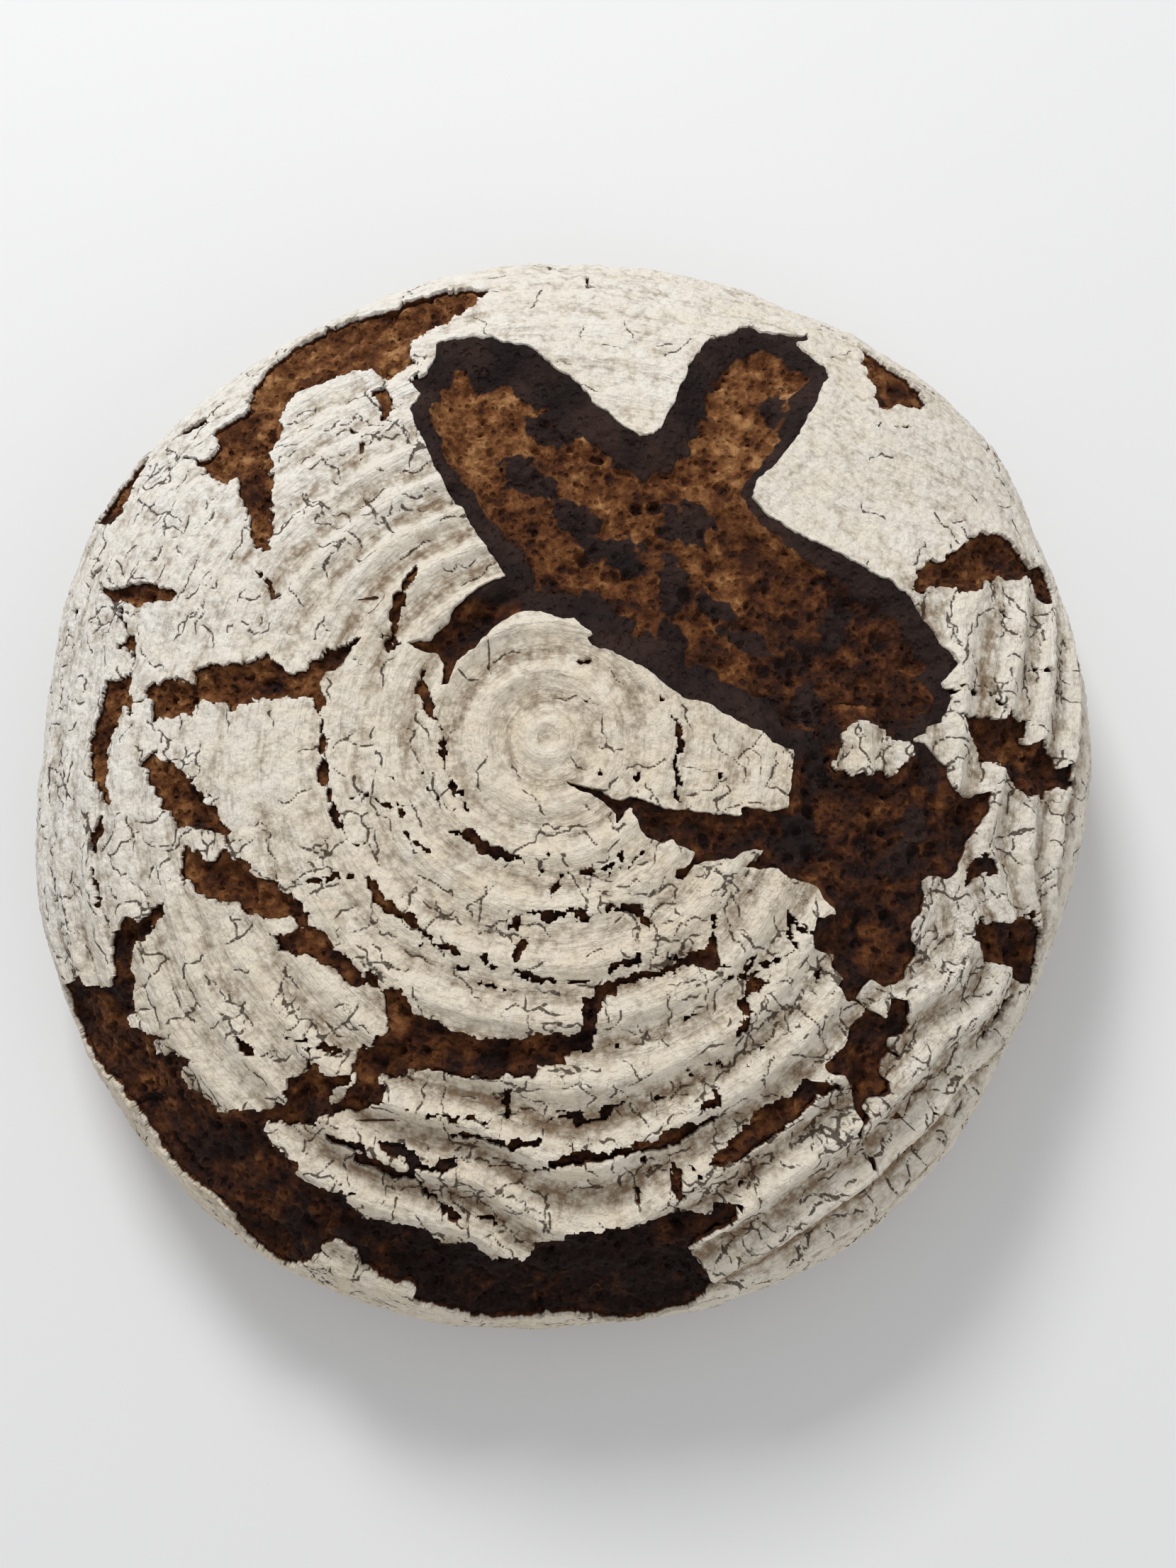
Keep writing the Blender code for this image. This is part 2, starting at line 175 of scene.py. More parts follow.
TEARS = {
    "north_west": (
        (-16, 113), (-19, 105), (-23, 102), (-27, 99), (-30, 97), (-33, 95), (-32.5, 90), (-32, 87),
        (-35.5, 84.5), (-38, 83.5), (-41, 86), (-45, 87.5), (-50, 85), (-58, 83.5), (-61.5, 82.5),
        (-63, 79), (-63, 74), (-64, 68), (-64, 63.5), (-63, 58.5), (-61, 53), (-60.5, 50),
        (-61, 46), (-60.5, 38.5), (-63, 38.5), (-66, 42), (-67.5, 48), (-70.5, 55.5), (-71.5, 59),
        (-74.5, 57.5), (-78, 60), (-81.5, 64.5), (-84.5, 67.5), (-80, 69.5), (-81, 77), (-76, 79.5),
        (-74, 81.5), (-75.5, 85), (-75, 91), (-72.5, 93), (-71, 96.5), (-69.5, 101), (-64, 106),
        (-57.5, 109.5), (-53, 113), (-47.5, 109), (-40, 109), (-36, 111), (-28, 113.5), (-23, 114),
    ),
    "north_west_rim_a": ((-84.5, 84), (-88, 83), (-94.5, 81.5), (-97, 79), (-92, 78), (-87, 80)),
    "north_west_rim_b": (
        (-103, 77), (-103.5, 72), (-104, 62), (-108, 55.5), (-116, 59), (-117.5, 64), (-113.5, 70),
        (-109, 71.5), (-105, 77),
    ),
    "north_west_rim_c": (
        (-110, 38), (-99.5, 37.5), (-93, 36), (-88, 34.5), (-83.5, 31.5), (-86, 30.5), (-92, 31),
        (-97, 30.5), (-101.5, 33), (-106, 35),
    ),
    "north_west_chip": ((-42, 81.5), (-36.5, 80.5), (-36.5, 73), (-37.5, 70), (-39.5, 75.5)),
    "north_east": (
        (73, 98), (73, 94), (73, 89), (74, 84), (73, 80.5), (74, 77), (76, 78), (79, 79.5),
        (83.5, 80.5), (87, 83), (88, 85.5), (87, 91), (85, 94.5), (80, 99), (76.5, 102), (73.5, 104),
    ),
    "east_upper": (
        (80.5, 32), (81.5, 36), (83, 38.5), (88, 40.5), (91.5, 44), (95.5, 47.5), (99.5, 50),
        (104, 50.5), (107.5, 48.5), (112, 46.5), (117.5, 47), (122, 50), (122, 43), (121.5, 39),
        (120, 36), (115.5, 36), (114.5, 40), (112.5, 41), (107.5, 39), (103.5, 39), (99.5, 36.5),
        (98, 34), (95, 33), (91, 31.5), (89.5, 33.5), (88, 34), (83, 32),
    ),
    "east_lower": (
        (92, 3.5), (97, 4.5), (102, 5), (107, 6.3), (110.5, 4.5), (112, 0.5), (109, -0.5),
        (111, -1.3), (115, 1), (118, 0.3), (120, -2.5), (121.5, -5), (126, -1), (127.5, -2.5),
        (125, -5.5), (130, -8), (122.5, -10), (119.5, -11), (118, -13.3), (111.5, -12.8),
        (108, -12.5), (106, -8.5), (102, -8), (98.5, -6.5), (96.5, -3.5), (94, -1), (92, 2),
    ),
    "south_east": (
        (95.5, -45), (97, -43), (103.5, -43.5), (108, -42.3), (114, -41), (116.5, -44.5),
        (119, -45), (121.5, -42.5), (121, -46), (120, -51), (121, -56.5), (120.5, -59),
        (114, -58.5), (108.5, -56), (105, -54.2), (101, -53), (99, -50), (96.5, -48.3),
    ),
    "east_notch": (
        (91, -37), (95, -33.5), (98, -29.5), (100.5, -28), (103, -30), (102.5, -32.5),
        (98.5, -32.5), (95, -35.3),
    ),
    "west_score": (
        (-94, 11.5), (-84.5, 11.3), (-80, 10.5), (-79.3, 13), (-76, 14.5), (-70.7, 13.8),
        (-67, 13.8), (-63, 14.7), (-60, 13.8), (-57.2, 12), (-55, 10.7), (-51.3, 9.8),
        (-51, 12.2), (-47.5, 15), (-43.5, 17), (-39.3, 17.5), (-36.5, 19.3), (-39.3, 16.5),
        (-42, 14.6), (-43.2, 12.2), (-47.5, 10), (-49.7, 8.3), (-46.8, 6), (-47, 2.7), (-49, 2.8),
        (-52, 5), (-57, 4.5), (-62, 4.8), (-65, 3.2), (-69.8, 3), (-74.3, 5), (-77.5, 4.3),
        (-79.8, 2.3), (-85.5, 2.8), (-91.5, 2), (-90.5, 5), (-92.8, 8.5),
    ),
    "west_side": (
        (-99, 25.5), (-97, 22.5), (-96.5, 18), (-97, 15), (-97.8, 9.5), (-94.3, 3.2), (-96.5, 3.5),
        (-99, 7.5), (-100.5, 4.2), (-102.5, 0.2), (-103, -4), (-102.5, -9), (-101.2, -14),
        (-100, -17), (-102.5, -16.5), (-105.5, -13), (-107.5, -9), (-108.8, -3.5), (-111, 0.5),
        (-107.3, 4.5), (-106.3, 11), (-105, 13.8), (-101, 15.5), (-103, 21.8),
    ),
    "west_side_foot": (
        (-104, -17.8), (-102.5, -21.5), (-104, -25.5), (-105.5, -30.5), (-107, -25.5), (-106, -20.5),
    ),
    "south_west_upper": (
        (-92.5, -6), (-88, -6), (-85.3, -8.2), (-81.7, -8.7), (-78, -12.2), (-73.3, -16.7),
        (-70.7, -20.8), (-68, -23.8), (-69, -27), (-69.3, -24.5), (-73, -23.5), (-81.3, -22.8),
        (-85.3, -18.3), (-89.5, -11.3), (-92.3, -8),
    ),
    "south_west_lower": (
        (-80, -26), (-76, -28.2), (-72.7, -30.2), (-69, -27.8), (-65.3, -30), (-60.7, -33.2),
        (-56.3, -35.7), (-52.7, -38.3), (-49.2, -41.5), (-49.2, -44), (-45, -46), (-43, -49.3),
        (-40, -51.2), (-37, -56.5), (-39, -56.5), (-43.7, -54), (-47.8, -51.2), (-53.3, -49.2),
        (-57, -48), (-57.7, -45.7), (-53.5, -46), (-51, -44), (-56.3, -42.5), (-60.5, -42.5),
        (-65, -40.8), (-69.5, -38.7), (-75.5, -36.5), (-79.5, -34), (-80.2, -29.3),
    ),
    "south": (
        (-37.5, -53.5), (-34.3, -55.5), (-30.3, -57.8), (-27.2, -60.3), (-26.5, -62.8),
        (-22.7, -63.5), (-19.8, -65.2), (-16, -66.7), (-13.5, -67.7), (-9.6, -66.8),
        (-5.8, -67.2), (0, -66.7), (4.4, -66.7), (7, -65.8), (7.7, -61.7), (7.4, -60),
        (10.3, -59.8), (11, -58.2), (13.5, -56.3), (16.8, -55), (21.3, -54.2), (25, -54.5),
        (21.2, -55.2), (18, -56.2), (14.8, -58.3), (11.6, -59.8), (10.5, -65.2), (10.4, -69),
        (7.5, -70.8), (2.3, -72.7), (-2.2, -73), (-2.9, -75), (-6.8, -75.2), (-10.7, -76.3),
        (-14.6, -75.4), (-19.8, -75.2), (-23, -74.2), (-29, -74.3), (-33.7, -76), (-34.2, -74.7),
        (-40, -73.7), (-40.5, -72), (-39, -69), (-36.3, -67.2), (-31.8, -65.7), (-31.5, -63),
        (-33, -59.5), (-35.7, -56.2),
    ),
    "south_east_slit": (
        (32.7, -94.2), (36.3, -91), (40, -87.7), (42.7, -84.3), (46, -81.6), (50.7, -79.2),
        (53.4, -77), (57, -76.5), (60, -77.3), (59.7, -79), (57, -80), (54.2, -82.2),
        (50.8, -85.5), (48, -88.2), (44.7, -90.2), (40.6, -92), (39.3, -93.6), (35, -94),
    ),
    "south_slit": (
        (-42.5, -90.3), (-39, -91), (-33.3, -93.3), (-29.2, -95), (-29.3, -96.8), (-34.8, -96.8),
        (-39, -95.2), (-42.3, -93.6),
    ),
    "south_sliver": (
        (20.5, -50.2), (34, -49.8), (34.5, -46.5), (35.5, -46.6), (36, -49.8), (37.3, -52.7),
        (33.3, -53), (27.5, -52.7), (24.4, -51.7),
    ),
    "centre_sliver": (
        (-25.8, 10), (-24.3, 6.5), (-23.2, 2.5), (-21.8, -1.5), (-24, 0), (-25.8, 3), (-27, 7),
    ),
}
# Floured crust left standing inside the openings.
ISLANDS = (
    (
        (63.5, -2.8), (65.5, -1), (66.5, 0.2), (71.5, -0.2), (73, -2), (76, -2.8), (79.3, -3.3),
        (80, -5.8), (78.3, -8.5), (77, -11.5), (73, -11.3), (70.3, -12), (67.5, -11.5),
        (63.3, -10.8), (62.3, -10.2), (63.5, -8.3),
    ),
    ((-101.5, 21), (-98.5, 19.5), (-98, 15.5), (-100, 14.5), (-102, 17)),
    ((-80, -24.6), (-74, -24.2), (-70.5, -26.3), (-74.5, -28), (-79, -26.6)),
)
# Cracks: width in the middle, in millimetres, then the places they pass through.
CRACKS = (
    (0.6, (12.3, -12), (12.7, -15), (12.3, -17)),
    (1.0, (25, 4), (27, 0.5), (29, -2), (29.2, -6), (29, -10), (29.2, -16.7), (28.5, -20)),
    (0.6, (30.5, -6), (31, -11.3)),
    (0.6, (37.5, -13), (37.3, -16.8)),
    (0.7, (20.3, -10.5), (20, -18)),
    (0.6, (42.5, -3), (42.3, -6)),
    (0.7, (10.7, 13.8), (10, 12), (8.7, 11.7), (8.7, 10)),
    (0.5, (9.3, 3.8), (12, 1.8)),
    (0.8, (-22, -1), (-20.8, -6), (-20.5, -10.5), (-19, -14.5), (-14, -21.3)),
    (0.9, (-23, -16), (-20.8, -18.7), (-18, -20.5)),
    (1.0, (-32, -13.8), (-27.6, -13.5), (-24.5, -13.2)),
    (1.0, (-31, -14.5), (-30, -19.7), (-28.2, -23)),
    (1.4, (-30, -23.5), (-27.7, -26.2), (-23.8, -28.8), (-22, -29.5)),
    (2.2, (-19.8, -25.6), (-16, -25.4), (-13.3, -27), (-11.5, -29), (-7.7, -30), (-4.3, -31)),
    (1.4, (-4.3, -31.8), (-2.3, -33.5), (0.8, -33.8), (3.2, -35.3)),
    (1.0, (3, -35.3), (2.8, -36.5), (2.6, -38.8)),
    (0.8, (3.2, -33.8), (8.2, -34), (11.3, -33.5), (14.5, -32), (17, -29.7)),
    (0.7, (14, -34), (18.4, -32), (20.7, -29.6), (22, -26.7)),
    (0.5, (1, -26.5), (1.3, -33.4)),
    (1.3, (-5.2, -42), (-1.4, -42), (1.7, -43), (5.5, -41.3), (8.7, -42.5), (12.4, -42)),
    (1.3, (1.7, -43), (4, -43.9), (7.5, -44.1), (9.8, -43)),
    (1.2, (12.4, -42), (15, -41), (18.7, -40.7), (20.3, -42.2), (21.8, -45.3)),
    (1.5, (-6.8, -44.7), (-5, -42), (-5.6, -45.8)),
    (1.4, (-3.4, -47.3), (-4.7, -49.8), (-6.6, -53), (-5.4, -54.6), (-0.3, -55.5), (4.7, -57), (9.7, -56.5)),
    (0.8, (-25, -48), (-20.6, -49), (-16.8, -49.7), (-11.8, -50)),
    (0.8, (-22, -52), (-17, -53), (-13.7, -52.4), (-8, -53)),
    (0.6, (-15.6, -55.5), (-11.2, -56.4), (-8.6, -58)),
    (2.4, (-36, -35), (-34.7, -38.3), (-31.5, -40.8), (-29.5, -42.5), (-27, -43.3), (-24, -46.3)),
    (0.8, (35, -46.5), (36.8, -41.5), (37, -39)),
    (1.2, (20.5, -51), (16.5, -52), (13.5, -53), (14, -55.5)),
    (1.6, (-37, -53.3), (-34.5, -56.2), (-31.2, -59.5), (-27, -62.5)),
    (1.0, (36, -56), (40.7, -54.8), (45, -54)),
    (1.3, (40.5, -60), (42, -57.5), (45, -56.5), (49, -56)),
    (0.7, (43, -52), (44, -49.5)),
    (2.5, (56.5, -58), (58.5, -54.5)),
    (1.8, (-48.3, 3), (-47.5, -4), (-47.2, -8), (-46.3, -14), (-44.5, -20), (-42.5, -24)),
    (1.0, (-86.5, 2.5), (-87, -6)),
    (1.0, (-53.5, -33.7), (-50.8, -32.5)),
    (1.5, (-50.3, -34.8), (-41, -34)),
    (0.8, (-39, -27.3), (-34.5, -26.8)),
    (0.8, (-42.8, -18.8), (-37.2, -17)),
    (0.8, (-35.8, -17), (-31, -20.3)),
    (0.7, (-87.3, -31), (-88.5, -38.5)),
    (1.0, (-89, -25), (-80.5, -28)),
    (1.5, (-124, -33.5), (-119, -38.5)),
    (2.0, (-121, 37), (-116, 33)),
    (1.0, (-48.5, 68.5), (-46, 70), (-43, 68), (-41.5, 63.5), (-41.5, 60.5)),
    (0.8, (-38.5, 56.5), (-35, 56.5)),
    (0.9, (-59, 50), (-54.5, 49)),
    (2.0, (-64, 35), (-61, 31), (-59.5, 29), (-57.5, 27.5)),
    (0.7, (-75, 33), (-73, 30)),
    (1.8, (-27, 35), (-28, 30), (-30.5, 26), (-32, 20), (-33, 15)),
    (0.8, (-47, 27), (-44, 29)),
    (2.0, (-69, -65), (-62.3, -70.7)),
    (1.0, (-60.7, -69.5), (-56, -73)),
    (1.5, (-55.3, -67), (-49.8, -67.3)),
    (2.0, (-49.7, -68.5), (-43.3, -69)),
    (3.0, (-42.5, -53), (-38.5, -55.5)),
    (0.8, (-30.5, -81.7), (-27, -81.5)),
    (1.0, (-26, -83), (-19.5, -83.5), (-15, -84), (-10.3, -84.7)),
    (1.5, (-9, -78.3), (-8.7, -80), (-8.8, -83.5)),
    (1.9, (-20.5, -87.3), (-15.2, -88), (-10.8, -88.8), (-8, -89), (-2.5, -89.3)),
    (0.8, (-8.7, -86), (-4.3, -86)),
    (1.4, (-2.7, -84.8), (2, -84.5), (5.5, -84), (7, -83.3)),
    (1.0, (5.4, -84.5), (5.6, -86), (11, -85), (12.5, -81.8), (15.4, -81)),
    (1.0, (4.4, -87.3), (5, -92)),
    (2.4, (-4.7, -96), (-2.8, -94.8), (2.5, -93), (7.7, -92.7), (13, -91.8), (17, -90.5), (21, -90.5)),
    (3.6, (18, -91), (23.7, -89.5), (26.3, -87.7), (33.5, -84.7)),
    (2.0, (20, -91), (19.6, -93.3), (19.3, -94.5)),
    (2.5, (-47.5, -87.5), (-43.5, -88.6), (-38, -90)),
    (2.2, (-37, -88), (-32.6, -89.8), (-29, -92.3), (-25.3, -94.3), (-24, -93.7), (-20.2, -93)),
    (1.5, (-28.7, -97), (-27, -101), (-23.3, -103.3), (-21, -105.3), (-14, -106.5), (-10, -109)),
    (1.0, (-19, -106.2), (-19, -109.3)),
    (1.0, (0, -108.6), (1, -106.5)),
    (1.3, (1.3, -101.5), (2.3, -103.6)),
    (1.3, (17.3, -98.5), (17.8, -102.5)),
    (2.0, (26.2, -94.5), (26.2, -102)),
    (1.0, (28.5, -93.8), (32, -97)),
    (1.5, (36, -98.5), (41, -98.5)),
    (1.5, (16.3, -94.3), (16.6, -97)),
    (1.0, (14, -69.7), (20, -70.8)),
    (1.3, (11.4, -70.3), (15.3, -68.3)),
    (1.3, (27.3, -64.7), (31.8, -62)),
    (2.0, (39, -67.8), (41.6, -62.7), (41, -59.5), (45.3, -57)),
    (1.5, (35.5, -71), (36.2, -73.5)),
    (1.5, (29, -75.2), (33.5, -73)),
    (1.0, (26, -76.7), (25.8, -79.2), (21.8, -81)),
    (1.3, (34.7, -78), (35.3, -80.5), (30.2, -82.3)),
    (1.2, (41.8, -73.5), (46.3, -67.8)),
    (2.2, (47.5, -66.8), (48.2, -65.3)),
    (1.0, (43.5, -108.5), (46.5, -106.3)),
    (0.8, (88, -55), (92, -56)),
    (2.2, (101.5, -71.5), (107, -66), (111.5, -61.5)),
    (4.5, (112.5, -70), (112.5, -75)),
    (1.2, (85.5, -84.5), (87.5, -91.5)),
    (2.0, (90, -93.5), (95, -98)),
    (1.6, (66, 110), (69, 106.5), (72, 104)),
    (1.4, (77.5, 72.5), (81.5, 74)),
    (1.0, (73.3, 72.3), (74, 73.5)),
    (1.4, (100, 29), (103, 31), (107.5, 27.5)),
    (1.2, (107, 19.5), (111.5, 20)),
    (1.2, (111, 17.5), (118, 18)),
    (1.2, (119, 27), (122.5, 27.5)),
    (1.3, (128, 5), (131, 2)),
    (1.6, (-113, 44), (-110, 43.5), (-108, 43)),
    (3.0, (7, 118), (8, 112.5)),
)
# Hairline seams that part one plate of crust from the next, some of them running down to the foot.
SEAMS = (
    ((-31, 80), (-33.5, 86)),
    ((-31, 97), (-29, 92), (-31, 82)),
    ((57, 99.8), (60, 101), (63, 105), (66, 110), (67, 118), (73, 128), (80, 137), (93, 163)),
    ((79, 30.5), (82, 33)),
    ((121, 45), (128, 45), (138, 52), (150, 55), (175, 66)),
    ((88, 8.6), (92, 9.2), (98, 9.5), (103, 7.5), (106, 5.5)),
    ((126, -2), (134, -3.5), (143, -1), (165, -4), (187, -6)),
    ((66, -87), (68, -93), (72, -99), (74, -110), (80, -122), (82, -134), (99, -159)),
    ((-39.5, -71), (-41, -75)),
    ((-36.8, 19), (-34, 17.2), (-28, 15.5)),
    ((-93, 8), (-96, 7), (-99, 8.5)),
    ((-99.5, 24.5), (-101, 30), (-102.5, 34)),
    ((-109, 38), (-113, 43.5), (-121, 41), (-133, 46), (-145, 45), (-178, 58)),
    ((-83.5, 67.5), (-90, 70), (-97, 69), (-104, 73)),
    ((-116, 60), (-125, 62), (-138, 70), (-165, 88)),
    ((-83, -37.5), (-82, -34), (-79, -32)),
    ((-105.3, -30), (-103, -38), (-99, -45)),
    ((-123, -58), (-134, -62), (-146, -62), (-172, -75)),
    ((33.3, -94), (31, -97), (27, -101), (27, -106)),
    ((59.5, -77.5), (63, -78.5), (66, -80)),
    ((24.5, -54.3), (28, -53)),
    ((36.5, -52.3), (40, -53.3), (44, -52.5), (49, -52.3), (52.3, -49.8)),
    ((52.3, -49.8), (52.2, -43), (55, -46), (57.5, -46.8)),
    ((34.8, -126), (42, -136), (47, -146), (64, -178)),
    ((-80, -26), (-76, -27)),
)
SEAM_WIDTH = 0.75

# Plates of crust, each found by a place that lies on it; two on one sheet part about halfway between.
PLATES = {
    "north": (5, 105),
    "north_east": (70, 60),
    "east": (118, 5),
    "south_east": (60, -100),
    "south": (-5, -98),
    "south_rim": (-20, -145),
    "centre": (0, 0),
    "north_west": (-45, 45),
    "south_west": (-75, -50),
    "west": (-92, -15),
    "west_rim": (-120, -10),
}

# Relief of the crust: places with the half-height of the cane ridges there, and how cream the flour is.
RIDGE_SPOTS = (
    (0, 0, 0.55), (-6, 12, 0.95), (8, 14, 0.75), (-14, 6, 0.8), (25, -8, 0.25), (0, -28, 0.5),
    (-25, 32, 1.1), (-40, 45, 0.8), (-45, 70, 0.35), (-50, 0, 0.4), (-75, -5, 0.3),
    (-70, 35, 0.4), (-90, 60, 0.2), (-110, 10, 0.3), (-100, -40, 0.4), (-60, -60, 0.5),
    (-40, -30, 0.4), (0, -50, 0.4), (30, -45, 0.5), (-30, -85, 1.0), (0, -82, 1.25), (0, -100, 1.3),
    (30, -70, 0.9), (45, -75, 0.8), (50, -100, 1.2), (85, -95, 1.2), (100, -70, 0.8),
    (105, -30, 0.8), (108, 20, 0.8), (100, 70, 0.15), (60, 60, 0.15), (10, 100, 0.2),
    (-60, 100, 0.2), (60, -130, 0.9), (-10, -130, 0.3),
)
CREAM_SPOTS = (
    (0, 0, 0.85), (-30, 0, 0.7), (-60, 0, 0.55), (-95, 0, 0.25), (-120, 0, 0.1), (-70, 50, 0.15),
    (-30, 55, 0.3), (-15, 40, 0.7), (0, 100, 0.35), (60, 65, 0.5), (100, 50, 0.4), (115, 0, 0.5),
    (100, -50, 0.5), (70, -100, 0.6), (20, -80, 0.7), (-20, -95, 0.75), (-20, -50, 0.8),
    (-70, -55, 0.75), (30, -30, 0.8), (35, -8, 0.8), (-50, 100, 0.1), (-40, -110, 0.8),
)
HAIRLINE_SPOTS = (
    (0, 0, 0.15), (35, -10, 0.6), (-30, 0, 0.4), (-60, 0, 0.45), (-60, 40, 0.65), (-100, 30, 0.9),
    (-110, -30, 0.9), (-60, -60, 1.0), (0, -50, 0.8), (40, -60, 1.6), (60, -90, 1.6), (90, -70, 1.6),
    (0, -90, 1.2), (-40, 60, 0.9), (-60, 100, 0.3), (0, 105, 0.12), (60, 60, 0.05),
    (90, 70, 0.08), (110, 20, 0.9), (105, -30, 0.9), (40, -40, 1.4),
)

# Charred places on the crumb of the leaves: place, half-length, half-width and turn in degrees.
CHARRED_PATCHES = (
    (31, 45, 7, 6, 20), (28.5, 30, 9, 3.6, 90), (28, 17, 6, 3.4, 95), (-4, 57, 9, 4.5, -38),
    (7, 46, 8, 5, -45), (16, 38, 9, 5, -30), (45, 18, 7, 3, -25), (38, 25, 5, 3, -30),
    (64, 22, 3.4, 6.5, -20), (58, 4, 4, 6, 10), (51, 78, 3.4, 7, -12), (12, 22, 8, 4.5, -30),
    (0, 69, 7, 3.5, -30), (-14, 84, 6, 3, -20), (80, -30, 6, 4, 40), (86, -10, 3, 5, 0),
    (56, -27, 5, 7, 20), (60, -12, 3, 5, 0), (83, -22, 4, 5, 30),
)


def crust_profile():
    """Samples the side view from the crown to the foot: arc length, radius and height."""
    crown = np.linspace(0.0, math.pi / 2, 1200)
    foot = np.linspace(0.0, math.pi / 2, 400)[1:]
    out, up = CROWN_SQUARENESS
    radius = np.concatenate((
        RADIUS * np.sin(crown) ** (2 / out),
        BASE_RADIUS + (RADIUS - BASE_RADIUS) * np.cos(foot) ** (2 / FOOT_SQUARENESS),
    ))
    height = np.concatenate((
        WIDEST_HEIGHT + (HEIGHT - WIDEST_HEIGHT) * np.cos(crown) ** (2 / up),
        WIDEST_HEIGHT * (1 - np.sin(foot) ** (2 / FOOT_SQUARENESS)),
    ))
    steps = np.hypot(np.diff(radius), np.diff(height))
    arc = np.concatenate(((0.0,), np.cumsum(steps)))
    even = np.linspace(0.0, arc[-1], 700)
    return even, np.interp(even, arc, radius), np.interp(even, arc, height)


ARC, ARC_RADIUS, ARC_HEIGHT = crust_profile()
FOOT_ARC = float(ARC[-1])


def profile_normals():
    """The direction square to the side view, outward and upward, at each sample."""
    run, rise = np.gradient(ARC_RADIUS, ARC), np.gradient(ARC_HEIGHT, ARC)
    length = np.hypot(run, rise)
    return -rise / length, run / length


ARC_OUT, ARC_UP = profile_normals()


def out_of_round(angle):
    """The loaf's radius in a direction, as a share of the turned radius."""
    total = np.ones_like(angle)
    for times, share, crest in OUTLINE_WAVES:
        total = total + share * np.cos(times * (angle - math.radians(crest)))
    return total


def pressed(x, y):
    """Moves points of the turned body to where the finished outline puts them."""
    share = np.minimum(np.hypot(x, y) / RADIUS, 1.0)
    scale = 1.0 + (out_of_round(np.arctan2(y, x)) - 1.0) * share
    return x * scale + CROWN_SHIFT * (1.0 - share**2), y * scale


def outline_centre():
    """The middle of the outline's box, which is the origin."""
    turn = np.radians(np.arange(360.0))
    x, y = pressed(RADIUS * np.cos(turn), RADIUS * np.sin(turn))
    return (x.min() + x.max()) / 2, (y.min() + y.max()) / 2


CENTRE_X, CENTRE_Y = outline_centre()


def wrapped(east, north, lift):
    """Places in metres on the loaf, from places on the peeled crust lifted square to it."""
    arc = np.minimum(np.hypot(east, north), FOOT_ARC)
    angle = np.arctan2(north, east)
    radius = np.interp(arc, ARC, ARC_RADIUS) + lift * np.interp(arc, ARC, ARC_OUT)
    height = np.interp(arc, ARC, ARC_HEIGHT) + lift * np.interp(arc, ARC, ARC_UP)
    x, y = pressed(radius * np.cos(angle), radius * np.sin(angle))
    return np.stack((x - CENTRE_X, y - CENTRE_Y, np.maximum(height, 0.2)), axis=-1) * MM


def smoothstep(low, high, value):
    share = np.clip((value - low) / (high - low), 0.0, 1.0)
    return share * share * (3.0 - 2.0 * share)


def noise(east, north, size, seed):
    """Smooth unevenness between about -1 and 1, with lumps of a size in millimetres."""
    count = int(2 * REACH / size) + 4
    turn = np.random.default_rng(seed).uniform(0.0, 2 * math.pi, (count, count))
    x = (east + REACH) / size + 1.0
    y = (north + REACH) / size + 1.0
    column, row = np.floor(x).astype(int), np.floor(y).astype(int)
    x, y = x - column, y - row

    def corner(right, up):
        slope = turn[(row + up) % count, (column + right) % count]
        return np.cos(slope) * (x - right) + np.sin(slope) * (y - up)

    across = x**3 * (x * (x * 6 - 15) + 10)
    upward = y**3 * (y * (y * 6 - 15) + 10)
    low = corner(0, 0) * (1 - across) + corner(1, 0) * across
    high = corner(0, 1) * (1 - across) + corner(1, 1) * across
    return 1.6 * (low * (1 - upward) + high * upward)


def flaked(east, north, size, seed):
    """How far each place is from the middle of the uneven flake that it lies on, in millimetres."""
    count = int(2 * REACH / size) + 6
    jitter = np.random.default_rng(seed).uniform(0.08, 0.92, (2, count, count))
    x, y = (east + REACH) / size + 2.0, (north + REACH) / size + 2.0
    column, row = np.floor(x).astype(int), np.floor(y).astype(int)
    nearest = np.full(east.shape, 9.0)
    to_east, to_north = np.zeros_like(east), np.zeros_like(east)
    for right in (-1, 0, 1):
        for up in (-1, 0, 1):
            a, b = (row + up) % count, (column + right) % count
            run, rise = column + right + jitter[0][a, b] - x, row + up + jitter[1][a, b] - y
            away = run * run + rise * rise
            closer = away < nearest
            nearest = np.where(closer, away, nearest)
            to_east, to_north = np.where(closer, run, to_east), np.where(closer, rise, to_north)
    return to_east * size, to_north * size


def spread(east, north, spots, reach=22.0):
    """Blends values given at a few places into a map over the crust."""
    total = np.zeros_like(east)
    weight = np.full_like(east, 1e-9)
    for spot_east, spot_north, value in spots:
        near = np.exp(-((east - spot_east) ** 2 + (north - spot_north) ** 2) / (2 * reach**2)) + 1e-7
        total += near * value
        weight += near
    return total / weight


